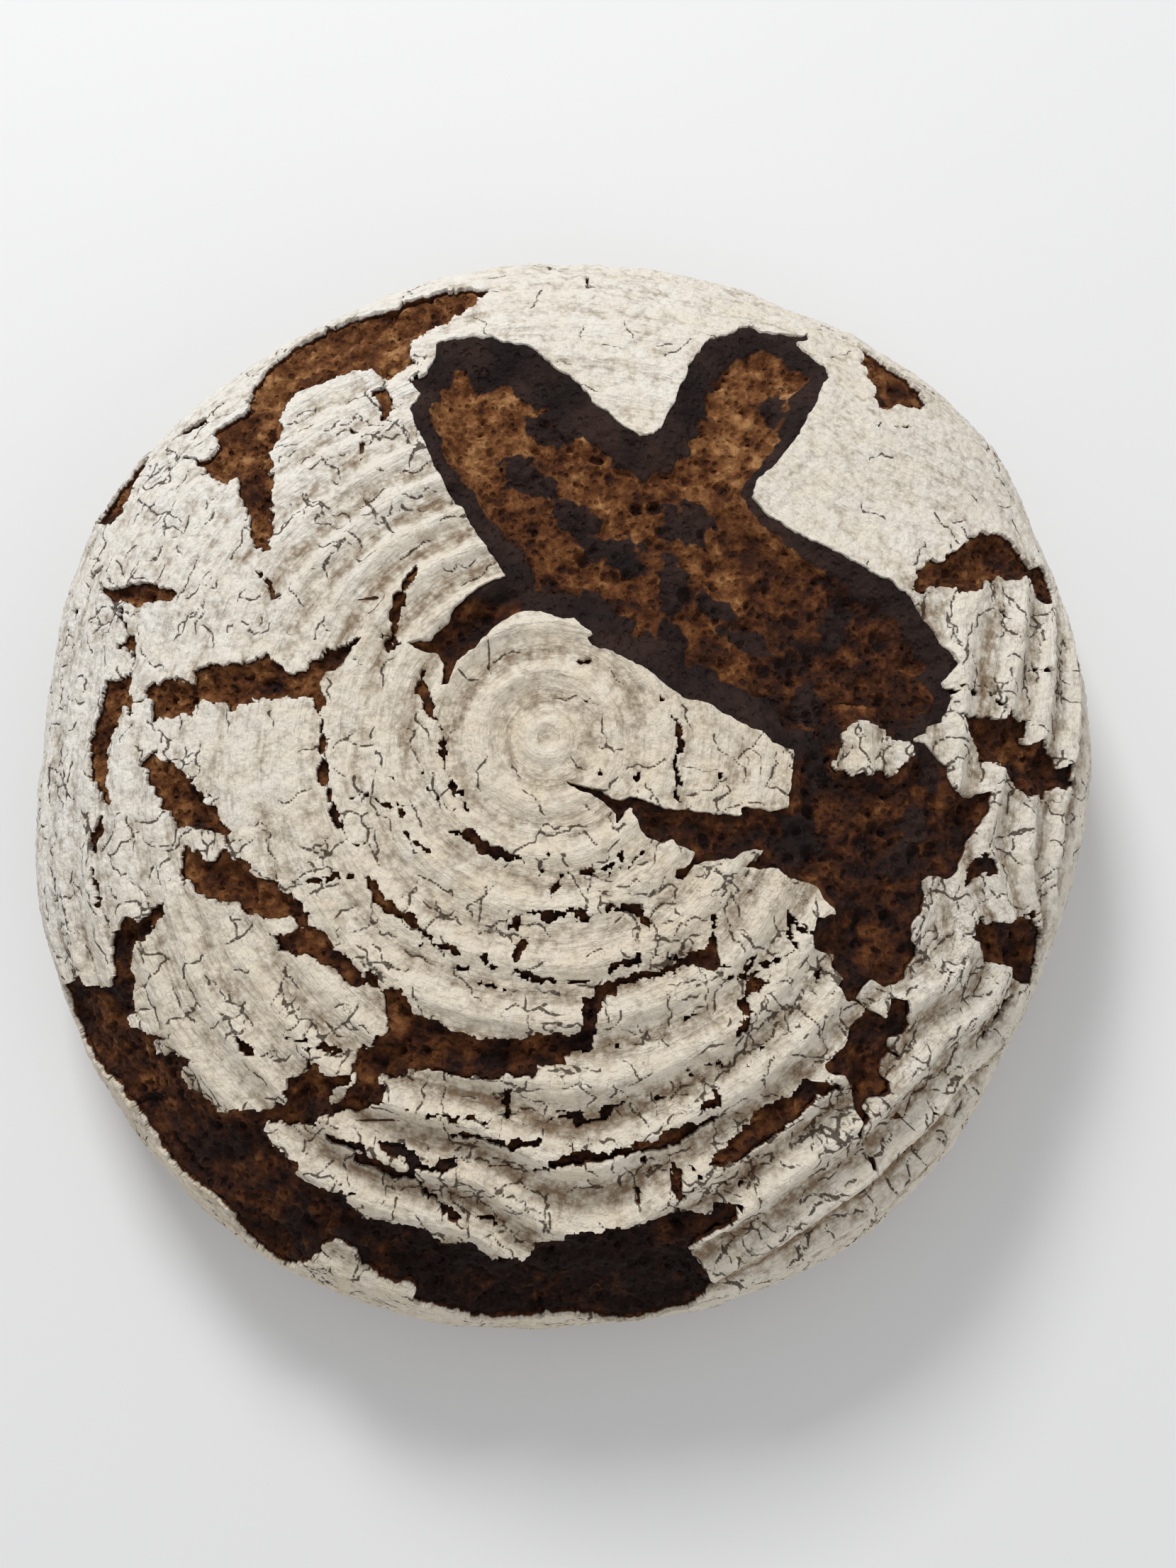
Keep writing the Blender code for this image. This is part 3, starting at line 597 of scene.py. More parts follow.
class PeeledCrust:
    """The crust laid out flat on an even grid, with how far each place is from the nearest opening."""

    def __init__(self, step):
        self.step = step
        self.count = 2 * int(REACH / step) + 1
        line = (np.arange(self.count) - self.count // 2) * step
        self.line = line
        self.east, self.north = np.meshgrid(line, line)
        self.arc = np.hypot(self.east, self.north)
        self.angle = np.arctan2(self.north, self.east)
        self.edge, self.leaf_edge = self.openings()
        self.rings = self.cane_rings()
        self.ridge_height = np.maximum(spread(self.east, self.north, RIDGE_SPOTS, 16.0), 0.0)
        self.ridge_height *= 1.0 - smoothstep(128.0, 142.0, self.arc)
        self.hairlines = self.hairline_distance()
        self.crust_lift = self.crust_relief()

    def window(self, points, margin):
        """The part of the grid round some places."""
        points = np.asarray(points)
        low = np.searchsorted(self.line, points.min(axis=0) - margin)
        high = np.searchsorted(self.line, points.max(axis=0) + margin)
        return slice(low[1], max(high[1], low[1] + 1)), slice(low[0], max(high[0], low[0] + 1))

    def path_distance(self, distance, east, north, path, halves, margin=8.0):
        """Lowers a distance map to the distance from a path less its half-width there."""
        for (start, end), (half, next_half) in zip(zip(path, path[1:]), zip(halves, halves[1:])):
            part = self.window((start, end), margin)
            run, rise = end[0] - start[0], end[1] - start[1]
            e, n = east[part] - start[0], north[part] - start[1]
            along = np.clip((e * run + n * rise) / (run * run + rise * rise), 0.0, 1.0)
            gap = np.hypot(e - along * run, n - along * rise) - (half + along * (next_half - half))
            distance[part] = np.minimum(distance[part], gap)

    def outline_distance(self, east, north, outline, margin=12.0):
        """Signed distance from an outline, negative inside it, on the part of the grid round it."""
        part = self.window(outline, margin)
        e, n = east[part], north[part]
        nearest = np.full(e.shape, 1e9)
        inside = np.zeros(e.shape, dtype=bool)
        for (e0, n0), (e1, n1) in zip(outline, outline[1:] + outline[:1]):
            run, rise = e1 - e0, n1 - n0
            along = np.clip(((e - e0) * run + (n - n0) * rise) / (run * run + rise * rise), 0.0, 1.0)
            nearest = np.minimum(nearest, (e - e0 - along * run) ** 2 + (n - n0 - along * rise) ** 2)
            if rise:
                inside ^= ((n0 > n) != (n1 > n)) & (e < e0 + (n - n0) * run / rise)
        return part, np.where(inside, -1.0, 1.0) * np.sqrt(nearest)

    def openings(self):
        """Distance to the nearest torn edge, positive on the crust and negative in the openings."""
        east, north = self.east, self.north
        flakes, crumbs = flaked(east, north, 2.9, 17), flaked(east, north, 1.4, 18)
        ragged_east = east + 0.5 * flakes[0] + 0.45 * crumbs[0] + 0.55 * noise(east, north, 3.4, 11)
        ragged_north = north + 0.5 * flakes[1] + 0.45 * crumbs[1] + 0.55 * noise(east, north, 3.4, 13)
        even_east = east + 0.3 * noise(east, north, 2.6, 15) + 0.2 * noise(east, north, 1.1, 12)
        even_north = north + 0.3 * noise(east, north, 2.6, 16) + 0.2 * noise(east, north, 1.1, 14)
        edge = np.full(east.shape, 30.0)
        leaf_edge = np.full(east.shape, 30.0)
        part, distance = self.outline_distance(even_east, even_north, LEAVES, 25.0)
        edge[part] = distance
        leaf_edge[part] = distance
        for outline in (BURST, *TEARS.values()):
            part, distance = self.outline_distance(ragged_east, ragged_north, outline)
            edge[part] = np.minimum(edge[part], distance)
        for width, *path in CRACKS:
            full = max(width / 2, 0.3)
            halves = [full] * len(path)
            halves[0] = halves[-1] = 0.5 * full
            self.path_distance(edge, ragged_east, ragged_north, path, halves)
        for path in SEAMS:
            self.path_distance(edge, ragged_east, ragged_north, path, [SEAM_WIDTH / 2] * len(path))
        for outline in ISLANDS:
            part, distance = self.outline_distance(ragged_east, ragged_north, outline, 4.0)
            edge[part] = np.maximum(edge[part], -distance)
        return edge, leaf_edge

    def cane_rings(self):
        """Distance out from the swirl's eye, counted so that a crest falls on every cane turn."""
        degrees = np.degrees(self.angle)
        reach = np.hypot(self.east - EYE_EAST, self.north - EYE_NORTH)
        away = (degrees - 303.0 + 180.0) % 360.0 - 180.0
        flat = smoothstep(66.0, 108.0, self.arc) * (1.0 - smoothstep(24.0, 44.0, np.abs(away)))
        reach = reach * (1.0 - flat * (1.0 - np.cos(np.radians(away))))
        away = (degrees - 346.0 + 180.0) % 360.0 - 180.0
        flat = smoothstep(70.0, 108.0, self.arc) * (1.0 - smoothstep(30.0, 60.0, np.abs(away)))
        flat = flat * smoothstep(-26.0, -10.0, away)
        reach = reach * (1.0 - flat * (1.0 - np.cos(np.radians(away))))
        pitch = CANE_PITCH + 0.7 * np.cos(self.angle + math.pi / 2) * smoothstep(20.0, 70.0, self.arc)
        sway = 0.9 * noise(self.east, self.north, 26.0, 21) * smoothstep(15.0, 40.0, self.arc)
        return (reach - FIRST_CREST + sway) / pitch

    def hairline_distance(self):
        """Distance to the nearest of many short hairline cracks, which run mostly along the ridges."""
        chance = np.random.default_rng(31)
        distance = np.full(self.east.shape, 3.0)
        spots = chance.uniform(-150.0, 150.0, (5200, 2))
        density = spread(spots[:, 0], spots[:, 1], HAIRLINE_SPOTS, 16.0)
        arcs = np.hypot(spots[:, 0], spots[:, 1])
        density = np.where(arcs > 128.0, 0.7, density) * np.where(arcs > 150.0, 0.4, 1.0)
        kept = spots[chance.uniform(0.0, 1.6, len(spots)) < density]
        for east, north in kept:
            if math.hypot(east, north) > FOOT_ARC - 4.0:
                continue
            outward = math.atan2(north - EYE_NORTH, east - EYE_EAST)
            heading = outward + (math.pi / 2 if chance.random() < 0.68 else 0.0) + chance.normal(0.0, 0.28)
            path, halves = [(east, north)], [0.0]
            bend = 0.0
            for _ in range(int(chance.integers(3, 11))):
                bend = 0.35 * bend + chance.normal(0.0, 0.55)
                reach = chance.uniform(0.7, 1.6)
                east += reach * math.cos(heading + bend)
                north += reach * math.sin(heading + bend)
                path.append((east, north))
                halves.append(chance.uniform(0.02, 0.2))
            halves[-1] = 0.0
            self.path_distance(distance, self.east, self.north, path, halves, 2.0)
        return distance

    def crust_relief(self):
        """How far the crust stands above the plain dome."""
        east, north = self.east, self.north
        turn = 2 * math.pi * self.rings
        ridges = np.cos(turn) + 0.22 * np.cos(2 * turn)
        uneven = 1.0 + 0.22 * noise(east, north, 17.0, 41)
        lift = 1.4 * self.ridge_height * ridges * uneven
        lift += 1.1 * noise(east, north, 44.0, 42) + 0.45 * noise(east, north, 15.0, 43)
        lift += 0.22 * noise(east, north, 5.0, 44) + 0.2 * noise(east, north, 2.1, 45)
        lift += 0.16 * noise(east, north, 1.2, 46)
        lift += 0.55 * np.exp(-np.maximum(self.edge, 0.0) / 2.6) * (1.0 - smoothstep(128.0, 150.0, self.arc))
        lift -= 0.25 * np.exp(-np.maximum(self.edge, 0.0) / 0.35)
        lift -= 0.22 * (1.0 - smoothstep(0.0, 0.5, self.hairlines))
        return lift * (1.0 - 0.7 * smoothstep(140.0, FOOT_ARC, self.arc))


def joined_areas(mask):
    """Numbers every area of a mask whose places touch, by the lowest place in it."""
    nowhere = mask.size
    label = np.where(mask, np.arange(mask.size).reshape(mask.shape), nowhere)
    while True:
        low = label.copy()
        low[1:] = np.minimum(low[1:], label[:-1])
        low[:-1] = np.minimum(low[:-1], label[1:])
        low[:, 1:] = np.minimum(low[:, 1:], label[:, :-1])
        low[:, :-1] = np.minimum(low[:, :-1], label[:, 1:])
        low = np.where(mask, low, nowhere)
        low = np.append(low.ravel(), nowhere)[low]
        if np.array_equal(low, label):
            return label
        label = low


def grown(label, mask, rounds):
    """Spreads numbers above -1 to the places of a mask next to them, a few times over."""
    label = label.copy()
    for _ in range(rounds):
        wide = np.full((label.shape[0] + 2, label.shape[1] + 2), -1)
        wide[1:-1, 1:-1] = label
        around = np.maximum.reduce((wide[:-2, 1:-1], wide[2:, 1:-1], wide[1:-1, :-2], wide[1:-1, 2:]))
        empty = (label < 0) & mask
        label[empty] = around[empty]
    return label


def cut_sheet(level, fields, owner):
    """Cuts the flat sheet where level falls to nothing: the fields at each vertex, triangles and owners."""
    rows, columns = level.shape
    number = np.arange(rows * columns).reshape(rows, columns)
    a, b, c, d = number[:-1, :-1], number[:-1, 1:], number[1:, 1:], number[1:, :-1]
    even = (np.add.outer(np.arange(rows - 1), np.arange(columns - 1)) % 2 == 0)
    first = np.where(even[..., None], np.stack((a, b, c), -1), np.stack((a, b, d), -1)).reshape(-1, 3)
    second = np.where(even[..., None], np.stack((a, c, d), -1), np.stack((b, c, d), -1)).reshape(-1, 3)
    triangles = np.concatenate((first, second))
    level, owner = level.ravel(), owner.ravel()
    inside = level > 0
    kept = inside[triangles].sum(axis=1)

    def lone_first(faces, lone):
        turn = np.argmax(inside[faces] == lone, axis=1)
        order = (turn[:, None] + np.arange(3)) % 3
        return np.take_along_axis(faces, order, axis=1)

    one, two = lone_first(triangles[kept == 1], True), lone_first(triangles[kept == 2], False)
    crossed = np.concatenate((one[:, [0, 1]], one[:, [0, 2]], two[:, [0, 1]], two[:, [0, 2]]))
    pairs, which = np.unique(np.sort(crossed, axis=1), axis=0, return_inverse=True)
    which = which.ravel() + level.size
    ends = level[pairs]
    share = np.clip(ends[:, 0] / (ends[:, 0] - ends[:, 1]), 0.08, 0.92)
    values = np.stack([field.ravel() for field in fields], axis=1)
    near, far = values[pairs[:, 0]], values[pairs[:, 1]]
    values = np.concatenate((values, near + share[:, None] * (far - near)))
    cuts = np.split(which, np.cumsum([len(one), len(one), len(two)]))
    faces = np.concatenate((
        triangles[kept == 3],
        np.stack((one[:, 0], cuts[0], cuts[1]), 1),
        np.stack((cuts[2], two[:, 1], two[:, 2]), 1),
        np.stack((cuts[2], two[:, 2], cuts[3]), 1),
    ))
    owners = np.concatenate((owner[triangles[kept == 3]], owner[one], owner[two], owner[two])).max(axis=1)
    return values, faces, owners


def packed(values, faces):
    """Drops the vertices that no face uses."""
    used, inverse = np.unique(faces, return_inverse=True)
    return values[used], inverse.reshape(faces.shape)


def border(faces):
    """The directed edges that only one face uses."""
    edges = np.concatenate((faces[:, [0, 1]], faces[:, [1, 2]], faces[:, [2, 0]]))
    size = faces.max() + 1
    forward = edges[:, 0] * size + edges[:, 1]
    backward = edges[:, 1] * size + edges[:, 0]
    return edges[~np.isin(forward, backward)]


def filled(places, edges):
    """Triangles facing down that close flat loops of edges, holes and all."""
    sheet = bmesh.new()
    corners = [sheet.verts.new((east, north, 0.0)) for east, north in places]
    sides = [sheet.edges.new((corners[start], corners[end])) for start, end in edges]
    sheet.verts.index_update()
    bmesh.ops.triangle_fill(sheet, edges=sides, use_beauty=False, use_dissolve=False, normal=(0, 0, -1))
    faces = []
    for face in sheet.faces:
        loop = [corner.index for corner in face.verts]
        faces.append(loop if face.normal.z < 0 else loop[::-1])
    sheet.free()
    return np.array(faces, dtype=int).reshape(-1, 3)


# Columns of the values carried by every vertex.
EAST, NORTH, LIFT = 0, 1, 2


def sheet_piece(name, values, faces, rims, channels, material):
    """A closed piece from a cut sheet: walls hung from its border in steps, and its underside filled in.

    Each rim is how far its ring stands out from the border, how far it hangs below it, and a wall value.
    Channels name the columns after the lift, which become attributes.
    """
    values, faces = packed(values, faces)
    edges = border(faces)
    rim_ids, ends = np.unique(edges, return_inverse=True)
    ends = ends.reshape(edges.shape)
    start, end = values[edges[:, 0]], values[edges[:, 1]]
    outward = np.stack((end[:, NORTH] - start[:, NORTH], start[:, EAST] - end[:, EAST]), axis=1)
    aim = np.zeros((len(rim_ids), 2))
    np.add.at(aim, ends[:, 0], outward)
    np.add.at(aim, ends[:, 1], outward)
    aim /= np.maximum(np.hypot(aim[:, 0], aim[:, 1]), 1e-6)[:, None]

    rings, all_faces, wall = [values], [faces], [np.zeros(len(values))]
    flat = [values[:, :2]]
    upper = rim_ids
    count = len(values)
    for step, (out, drop, share) in enumerate(rims):
        ring = values[rim_ids].copy()
        wander = noise(ring[:, EAST], ring[:, NORTH], 1.7, 61 + step)
        ring[:, :2] += aim * (out * (1.0 + 0.8 * wander))[:, None]
        ring[:, LIFT] -= drop * (1.0 + 0.15 * wander)
        lower = np.arange(len(rim_ids)) + count
        count += len(rim_ids)
        a, b = upper[ends[:, 0]], upper[ends[:, 1]]
        c, d = lower[ends[:, 1]], lower[ends[:, 0]]
        all_faces += [np.stack((b, a, d), 1), np.stack((b, d, c), 1)]
        rings.append(ring)
        wall.append(np.full(len(ring), share))
        flat.append(values[rim_ids, :2] + aim * 0.13 * (step + 1))
        upper = lower
    under = filled(values[rim_ids, :2], ends)
    sheet_faces = np.concatenate(all_faces)
    under_faces = upper[under]

    values, flat = np.concatenate(rings), np.concatenate(flat)
    places = wrapped(values[:, EAST], values[:, NORTH], values[:, LIFT])
    triangles = np.concatenate((sheet_faces, under_faces))
    low, size = flat.min(axis=0), np.ptp(flat, axis=0)
    spot = (flat - low) / size
    top_map = spot * (0.99, 0.86) + (0.005, 0.005)
    under_map = spot * (0.99, 0.11) + (0.005, 0.88)
    maps = np.concatenate((top_map[sheet_faces], under_map[under_faces])).reshape(-1, 2)
    numbers = {**dict(zip(channels, values[:, 3:].T)), "wall": np.concatenate(wall)}
    return mesh_piece(name, places, triangles, maps, numbers, material)


def mesh_piece(name, places, triangles, maps, channels, material):
    """Links a new object with the given mesh, map and attributes, and makes it part of the loaf."""
    mesh = bpy.data.meshes.new(name)
    mesh.vertices.add(len(places))
    mesh.loops.add(triangles.size)
    mesh.polygons.add(len(triangles))
    mesh.vertices.foreach_set("co", places.astype(np.float32).ravel())
    mesh.loops.foreach_set("vertex_index", triangles.astype(np.int32).ravel())
    mesh.polygons.foreach_set("loop_start", np.arange(0, triangles.size, 3, dtype=np.int32))
    mesh.update(calc_edges=True)
    layer = mesh.uv_layers.new(name=BAKE_MAP)
    layer.uv.foreach_set("vector", maps.astype(np.float32).ravel())
    for key, numbers in channels.items():
        attribute = mesh.attributes.new(key, "FLOAT", "POINT")
        attribute.data.foreach_set("value", numbers.astype(np.float32))
    mesh.validate()
    mesh.materials.append(material)
    piece = bpy.data.objects.new(name, mesh)
    bpy.context.scene.collection.objects.link(piece)
    smooth_piece(piece)
    return loaf_piece(piece)


def smooth_piece(piece):
    """Shades a piece smooth but for its sharp edges."""
    bpy.ops.object.select_all(action="DESELECT")
    bpy.context.view_layer.objects.active = piece
    piece.select_set(True)
    bpy.ops.object.shade_smooth_by_angle(angle=math.radians(SMOOTH_ANGLE))
    piece.select_set(False)


def loaf_piece(piece):
    """Makes a finished piece part of the loaf: it rides on the body and stands for the modelled crust."""
    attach(piece, BODY)
    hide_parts(LOAF_NODE)
    return piece


@functools.lru_cache(maxsize=1)
def peeled_crust(step):
    return PeeledCrust(step)


def pits(crust, count, seed, small, large):
    """How deep a scatter of round pores goes at each place, in millimetres."""
    chance = np.random.default_rng(seed)
    depth = np.zeros_like(crust.east)
    for east, north in chance.uniform(-150.0, 150.0, (count, 2)):
        radius = chance.uniform(small, large)
        part = crust.window(((east, north),), radius + crust.step)
        away = np.hypot(crust.east[part] - east, crust.north[part] - north) / radius
        depth[part] = np.maximum(depth[part], radius * np.sqrt(np.maximum(1.0 - away**2, 0.0)))
    return depth


def patch_map(crust, patches):
    """A soft-edged map of turned oval patches, 1 at their middles and 0 outside."""
    total = np.zeros_like(crust.east)
    stray = 0.35 * noise(crust.east, crust.north, 4.0, 71) + 0.25 * noise(crust.east, crust.north, 1.8, 72)
    for east, north, half_length, half_width, turn in patches:
        part = crust.window(((east, north),), 2.0 * max(half_length, half_width))
        cos, sin = math.cos(math.radians(turn)), math.sin(math.radians(turn))
        e, n = crust.east[part] - east, crust.north[part] - north
        away = np.hypot((e * cos + n * sin) / half_length, (n * cos - e * sin) / half_width) + stray[part]
        total[part] = np.maximum(total[part], 1.0 - smoothstep(0.6, 1.15, away))
    return total


# How wide the charred skin is along the cut edges of the leaves.
CHARRED_WIDTHS = (
    (-33, 80, 5), (-30, 68, 3.5), (-22, 52, 4), (-10, 40, 5), (-10, 92, 9), (5, 80, 10), (15, 70, 9),
    (22, 66, 8), (28, 78, 8.5), (35, 90, 8), (50, 95, 4), (62, 86, 4), (58, 74, 5.5), (52, 60, 2),
    (50, 50, 2), (60, 42, 4), (72, 32, 6), (85, 18, 5), (88, 0, 3), (-4, 36, 6), (5, 30, 8),
    (20, 18, 8.5), (40, 5, 8.5), (60, -8, 6),
)


def scored(crust):
    """1 where the leaves were scored with a blade, 0 where their edge tore."""
    torn_west = (crust.east < -4.0) * (1.0 - smoothstep(22.0, 28.0, crust.north))
    return smoothstep(-13.0, -4.0, crust.north) * (1.0 - torn_west)


def char_band(crust):
    """The smooth charred skin along the cut edges of the leaves, 1 on it and 0 off it."""
    east, north = crust.east, crust.north
    width = spread(east, north, CHARRED_WIDTHS, 8.0)
    width *= 1.0 + 0.2 * noise(east, north, 12.0, 73) + 0.26 * noise(east, north, 3.4, 74)
    inside = -crust.leaf_edge
    return scored(crust) * (inside > -2.0) * (1.0 - smoothstep(width - 0.35, width + 0.35, inside))


def crumb_relief(crust, sizes):
    """Lift of the crumb floor, its charred map, and a map of its pores' depth that paints shade into them."""
    east, north = crust.east, crust.north
    inside = np.maximum(-crust.edge, 0.0)
    band = char_band(crust)
    patches = patch_map(crust, CHARRED_PATCHES)
    torn = 1.5 + (sizes.tear_depth / MM - 1.5) * smoothstep(0.0, 5.0, inside)
    cut = 0.45 + (sizes.score_depth / MM - 1.6) * smoothstep(0.0, 9.0, inside)
    cut += 1.1 * (1.0 - band) * smoothstep(3.0, 6.0, inside)
    in_leaf = (crust.leaf_edge <= crust.edge + 0.6) & (crust.leaf_edge < 2.0)
    depth = np.where(in_leaf, torn + (cut - torn) * scored(crust), torn)
    depth += 1.6 * smoothstep(0.0, 0.8, crust.edge)
    south = smoothstep(-100.0, -118.0, north) * smoothstep(0.0, 8.0, inside)
    depth += south * (sizes.burst_depth - sizes.tear_depth) / MM
    lumps = 1.2 * noise(east, north, 8.5, 81) + 0.95 * noise(east, north, 3.7, 82)
    lumps += 0.55 * noise(east, north, 1.8, 83) + 0.34 * noise(east, north, 1.05, 84)
    pores = np.maximum(pits(crust, 5200, 85, 0.5, 1.1), pits(crust, 900, 86, 0.9, 1.9))
    open_crumb = smoothstep(0.2, 3.0, inside) * (1.0 - 0.75 * band)
    lift = np.minimum(crust.crust_lift, 1.2) * (1.0 - 0.6 * smoothstep(0.0, 6.0, inside)) - depth
    lift += open_crumb * (lumps - pores) + 0.9 * patches * smoothstep(1.0, 4.0, inside)
    lift += band * (0.12 * noise(east, north, 1.3, 87) + 0.2 * noise(east, north, 4.0, 88))
    # The third map, the pores' depth in the open crumb, darkens the colour as painted shade.
    return lift, np.maximum(band, patches * smoothstep(0.5, 2.0, inside)), pores * open_crumb


# The crumb pieces, each with the outlines of the openings that it shows in.
OUTLINES = {"leaves": LEAVES, "east_island": ISLANDS[0], "burst": BURST, **TEARS}
CRUMB_GROUPS = {
    "leaf_crumb": ("leaves", "east_island"),
    "north_west_crumb": (
        "north_west", "north_west_rim_a", "north_west_rim_b", "north_west_rim_c", "north_west_chip",
    ),
    "west_crumb": (
        "west_score", "west_side", "west_side_foot", "south_west_upper", "south_west_lower", "centre_sliver",
    ),
    "burst_crumb": ("burst",),
    "south_crumb": ("south", "south_east_slit", "south_slit", "south_sliver"),
    "east_crumb": ("north_east", "east_upper", "east_lower", "south_east", "east_notch"),
}

# Painted light and shade on the crumb: places, and how much lighter it is painted where it faces the light;
# below zero, darker where it lies in shade in the south of the burst.
PAINTED_LIGHT_SPOTS = (
    (-15, 75, 1.0), (10, 50, 0.8), (45, 85, 0.95), (30, 20, 0.75), (60, 10, 0.35), (80, 10, 0.3),
    (75, -30, 0.2), (70, -75, 0.3), (-70, 90, 0.95), (-60, 60, 0.95), (-70, 8, 0.75), (-104, 5, 0.8),
    (-80, -18, 0.75), (-65, -36, 0.6), (-45, -50, 0.5), (-12, -70, 0.25), (45, -86, 0.35),
    (-100, -75, 0.3), (-60, -105, 0.1), (0, -125, -0.4), (-30, -120, -0.25), (40, -20, 0.15),
    (-18, 18, 0.45), (82, 90, 0.75), (100, 43, 0.5), (110, -4, 0.35), (110, -50, 0.25),
    (-8, 22, 0.3), (20, -88, 0.2), (-98, -50, 0.3),
)


def crumb_owners(crust):
    """Which crumb piece each place belongs to: the one with the nearest corner of an opening."""
    stride = 4
    east, north = crust.east[::stride, ::stride], crust.north[::stride, ::stride]
    best, owner = np.full(east.shape, 1e9), np.zeros(east.shape, dtype=int)
    for number, members in enumerate(CRUMB_GROUPS.values()):
        for member in members:
            corners = np.array(OUTLINES[member], dtype=float)
            gap = np.min(np.hypot(east[..., None] - corners[:, 0], north[..., None] - corners[:, 1]), axis=-1)
            closer = gap < best
            best, owner = np.where(closer, gap, best), np.where(closer, number, owner)
    wide = np.repeat(np.repeat(owner, stride, axis=0), stride, axis=1)
    return wide[: crust.count, : crust.count]


def plate_owners(crust):
    """Numbers the plates of crust in the order of their names; what is left over comes last."""
    firm = joined_areas((crust.edge > FIRM_EDGE) & (crust.arc < FOOT_ARC))
    owner = np.full(crust.edge.shape, -1)
    nearest = np.full(crust.edge.shape, np.inf)
    wander_east, wander_north = (7 * noise(crust.east, crust.north, 16.0, seed) for seed in (61, 62))
    for number, (east, north) in enumerate(PLATES.values()):
        row, column = np.searchsorted(crust.line, north), np.searchsorted(crust.line, east)
        label = firm[row, column]
        if label == crust.edge.size:
            raise RuntimeError(f"plate {number} has no crust at its place")
        away = np.hypot(crust.east - east + wander_east, crust.north - north + wander_north)
        mine = (firm == label) & (away < nearest)
        owner[mine], nearest[mine] = number, away[mine]
    solid = (crust.edge > 0) & (crust.arc < FOOT_ARC + 2.0)
    owner = grown(owner, solid, int(2.5 / crust.step) + 3)
    return np.where((owner < 0) & solid, len(PLATES), owner)


def add_node(tree, kind, sockets=None, **settings):
    """Adds a shader node, sets it up, and fills its sockets with values or links."""
    node = tree.nodes.new(kind)
    for key, value in settings.items():
        setattr(node, key, value)
    for key, value in (sockets or {}).items():
        if isinstance(value, bpy.types.NodeSocket):
            tree.links.new(value, node.inputs[key])
        else:
            node.inputs[key].default_value = value
    return node


def maths(tree, operation, first, second=0.0, clamp=False):
    node = add_node(tree, "ShaderNodeMath", {0: first, 1: second}, operation=operation, use_clamp=clamp)
    return node.outputs[0]


def vector_maths(tree, operation, first, second):
    return add_node(tree, "ShaderNodeVectorMath", {0: first, 1: second}, operation=operation).outputs[0]


def shifted(tree, value, by, share, middle=0.5, clamp=False):
    """Adds to a value a share of how far another one is from its middle."""
    away = maths(tree, "SUBTRACT", by, middle)
    return maths(tree, "ADD", value, maths(tree, "MULTIPLY", away, share), clamp)


def eased(tree, value, low, high, start=0.0, end=1.0):
    """Maps a value from one range to another with soft ends."""
    node = add_node(
        tree, "ShaderNodeMapRange",
        {"Value": value, "From Min": low, "From Max": high, "To Min": start, "To Max": end},
        interpolation_type="SMOOTHSTEP",
    )
    return node.outputs["Result"]


def mixed(tree, share, first, second):
    node = add_node(tree, "ShaderNodeMix", data_type="RGBA")
    for socket, value in ((node.inputs[0], share), (node.inputs[6], first), (node.inputs[7], second)):
        if isinstance(value, bpy.types.NodeSocket):
            tree.links.new(value, socket)
        else:
            socket.default_value = value
    return node.outputs[2]


def channel(tree, name):
    return add_node(tree, "ShaderNodeAttribute", attribute_name=name).outputs["Fac"]


def noise_texture(tree, vector, scale, detail=3.0, roughness=0.55, distortion=0.0):
    sockets = {
        "Vector": vector, "Scale": scale, "Detail": detail, "Roughness": roughness, "Distortion": distortion,
    }
    return add_node(tree, "ShaderNodeTexNoise", sockets).outputs["Fac"]


def new_group(name, inputs, outputs):
    """A shader node group with named sockets: the group, its input node and its output node."""
    group = bpy.data.node_groups.new(name, "ShaderNodeTree")
    for socket_name, kind, default in inputs:
        socket = group.interface.new_socket(socket_name, in_out="INPUT", socket_type=kind)
        socket.default_value = default
    for socket_name, kind in outputs:
        group.interface.new_socket(socket_name, in_out="OUTPUT", socket_type=kind)
    return group, group.nodes.new("NodeGroupInput"), group.nodes.new("NodeGroupOutput")


@functools.lru_cache(maxsize=1)
def fine_grain_group():
    """Floury or crumbly grain: a mask and a height, at a grain size in grains per metre."""
    group, given, result = new_group(
        "fine_grain",
        (("Grains", "NodeSocketFloat", 1200.0), ("Clumping", "NodeSocketFloat", 0.5)),
        (("Mask", "NodeSocketFloat"), ("Height", "NodeSocketFloat")),
    )
    place = add_node(group, "ShaderNodeTexCoord").outputs["Object"]
    grains = noise_texture(group, place, given.outputs["Grains"], 4.0, 0.7, 0.4)
    half = maths(group, "MULTIPLY", given.outputs["Grains"], 0.55)
    clumps = add_node(group, "ShaderNodeTexVoronoi", {"Vector": place, "Scale": half}, feature="F1")
    raised = maths(group, "SUBTRACT", 1.0, clumps.outputs["Distance"], clamp=True)
    height = add_node(group, "ShaderNodeMix", {0: given.outputs["Clumping"], 2: grains, 3: raised}).outputs[0]
    group.links.new(eased(group, height, 0.28, 0.78), result.inputs["Mask"])
    group.links.new(height, result.inputs["Height"])
    return group


@functools.lru_cache(maxsize=1)
def toasting_group():
    """The colours rye goes through as it bakes, from golden crumb to char."""
    group, given, result = new_group(
        "toasting", (("Amount", "NodeSocketFloat", 0.5),), (("Color", "NodeSocketColor"),)
    )
    ramp = add_node(group, "ShaderNodeValToRGB", {"Fac": given.outputs["Amount"]})
    stops = (
        (0.0, (0.42, 0.215, 0.085, 1)), (0.22, (0.235, 0.098, 0.033, 1)), (0.45, (0.125, 0.043, 0.0125, 1)),
        (0.7, (0.052, 0.0165, 0.0062, 1)), (1.0, (0.0165, 0.0075, 0.0055, 1)),
    )
    elements = ramp.color_ramp.elements
    for position, colour in stops[1:-1]:
        elements.new(position).color = colour
    elements[0].color, elements[-1].color = stops[0][1], stops[-1][1]
    group.links.new(ramp.outputs["Color"], result.inputs["Color"])
    return group


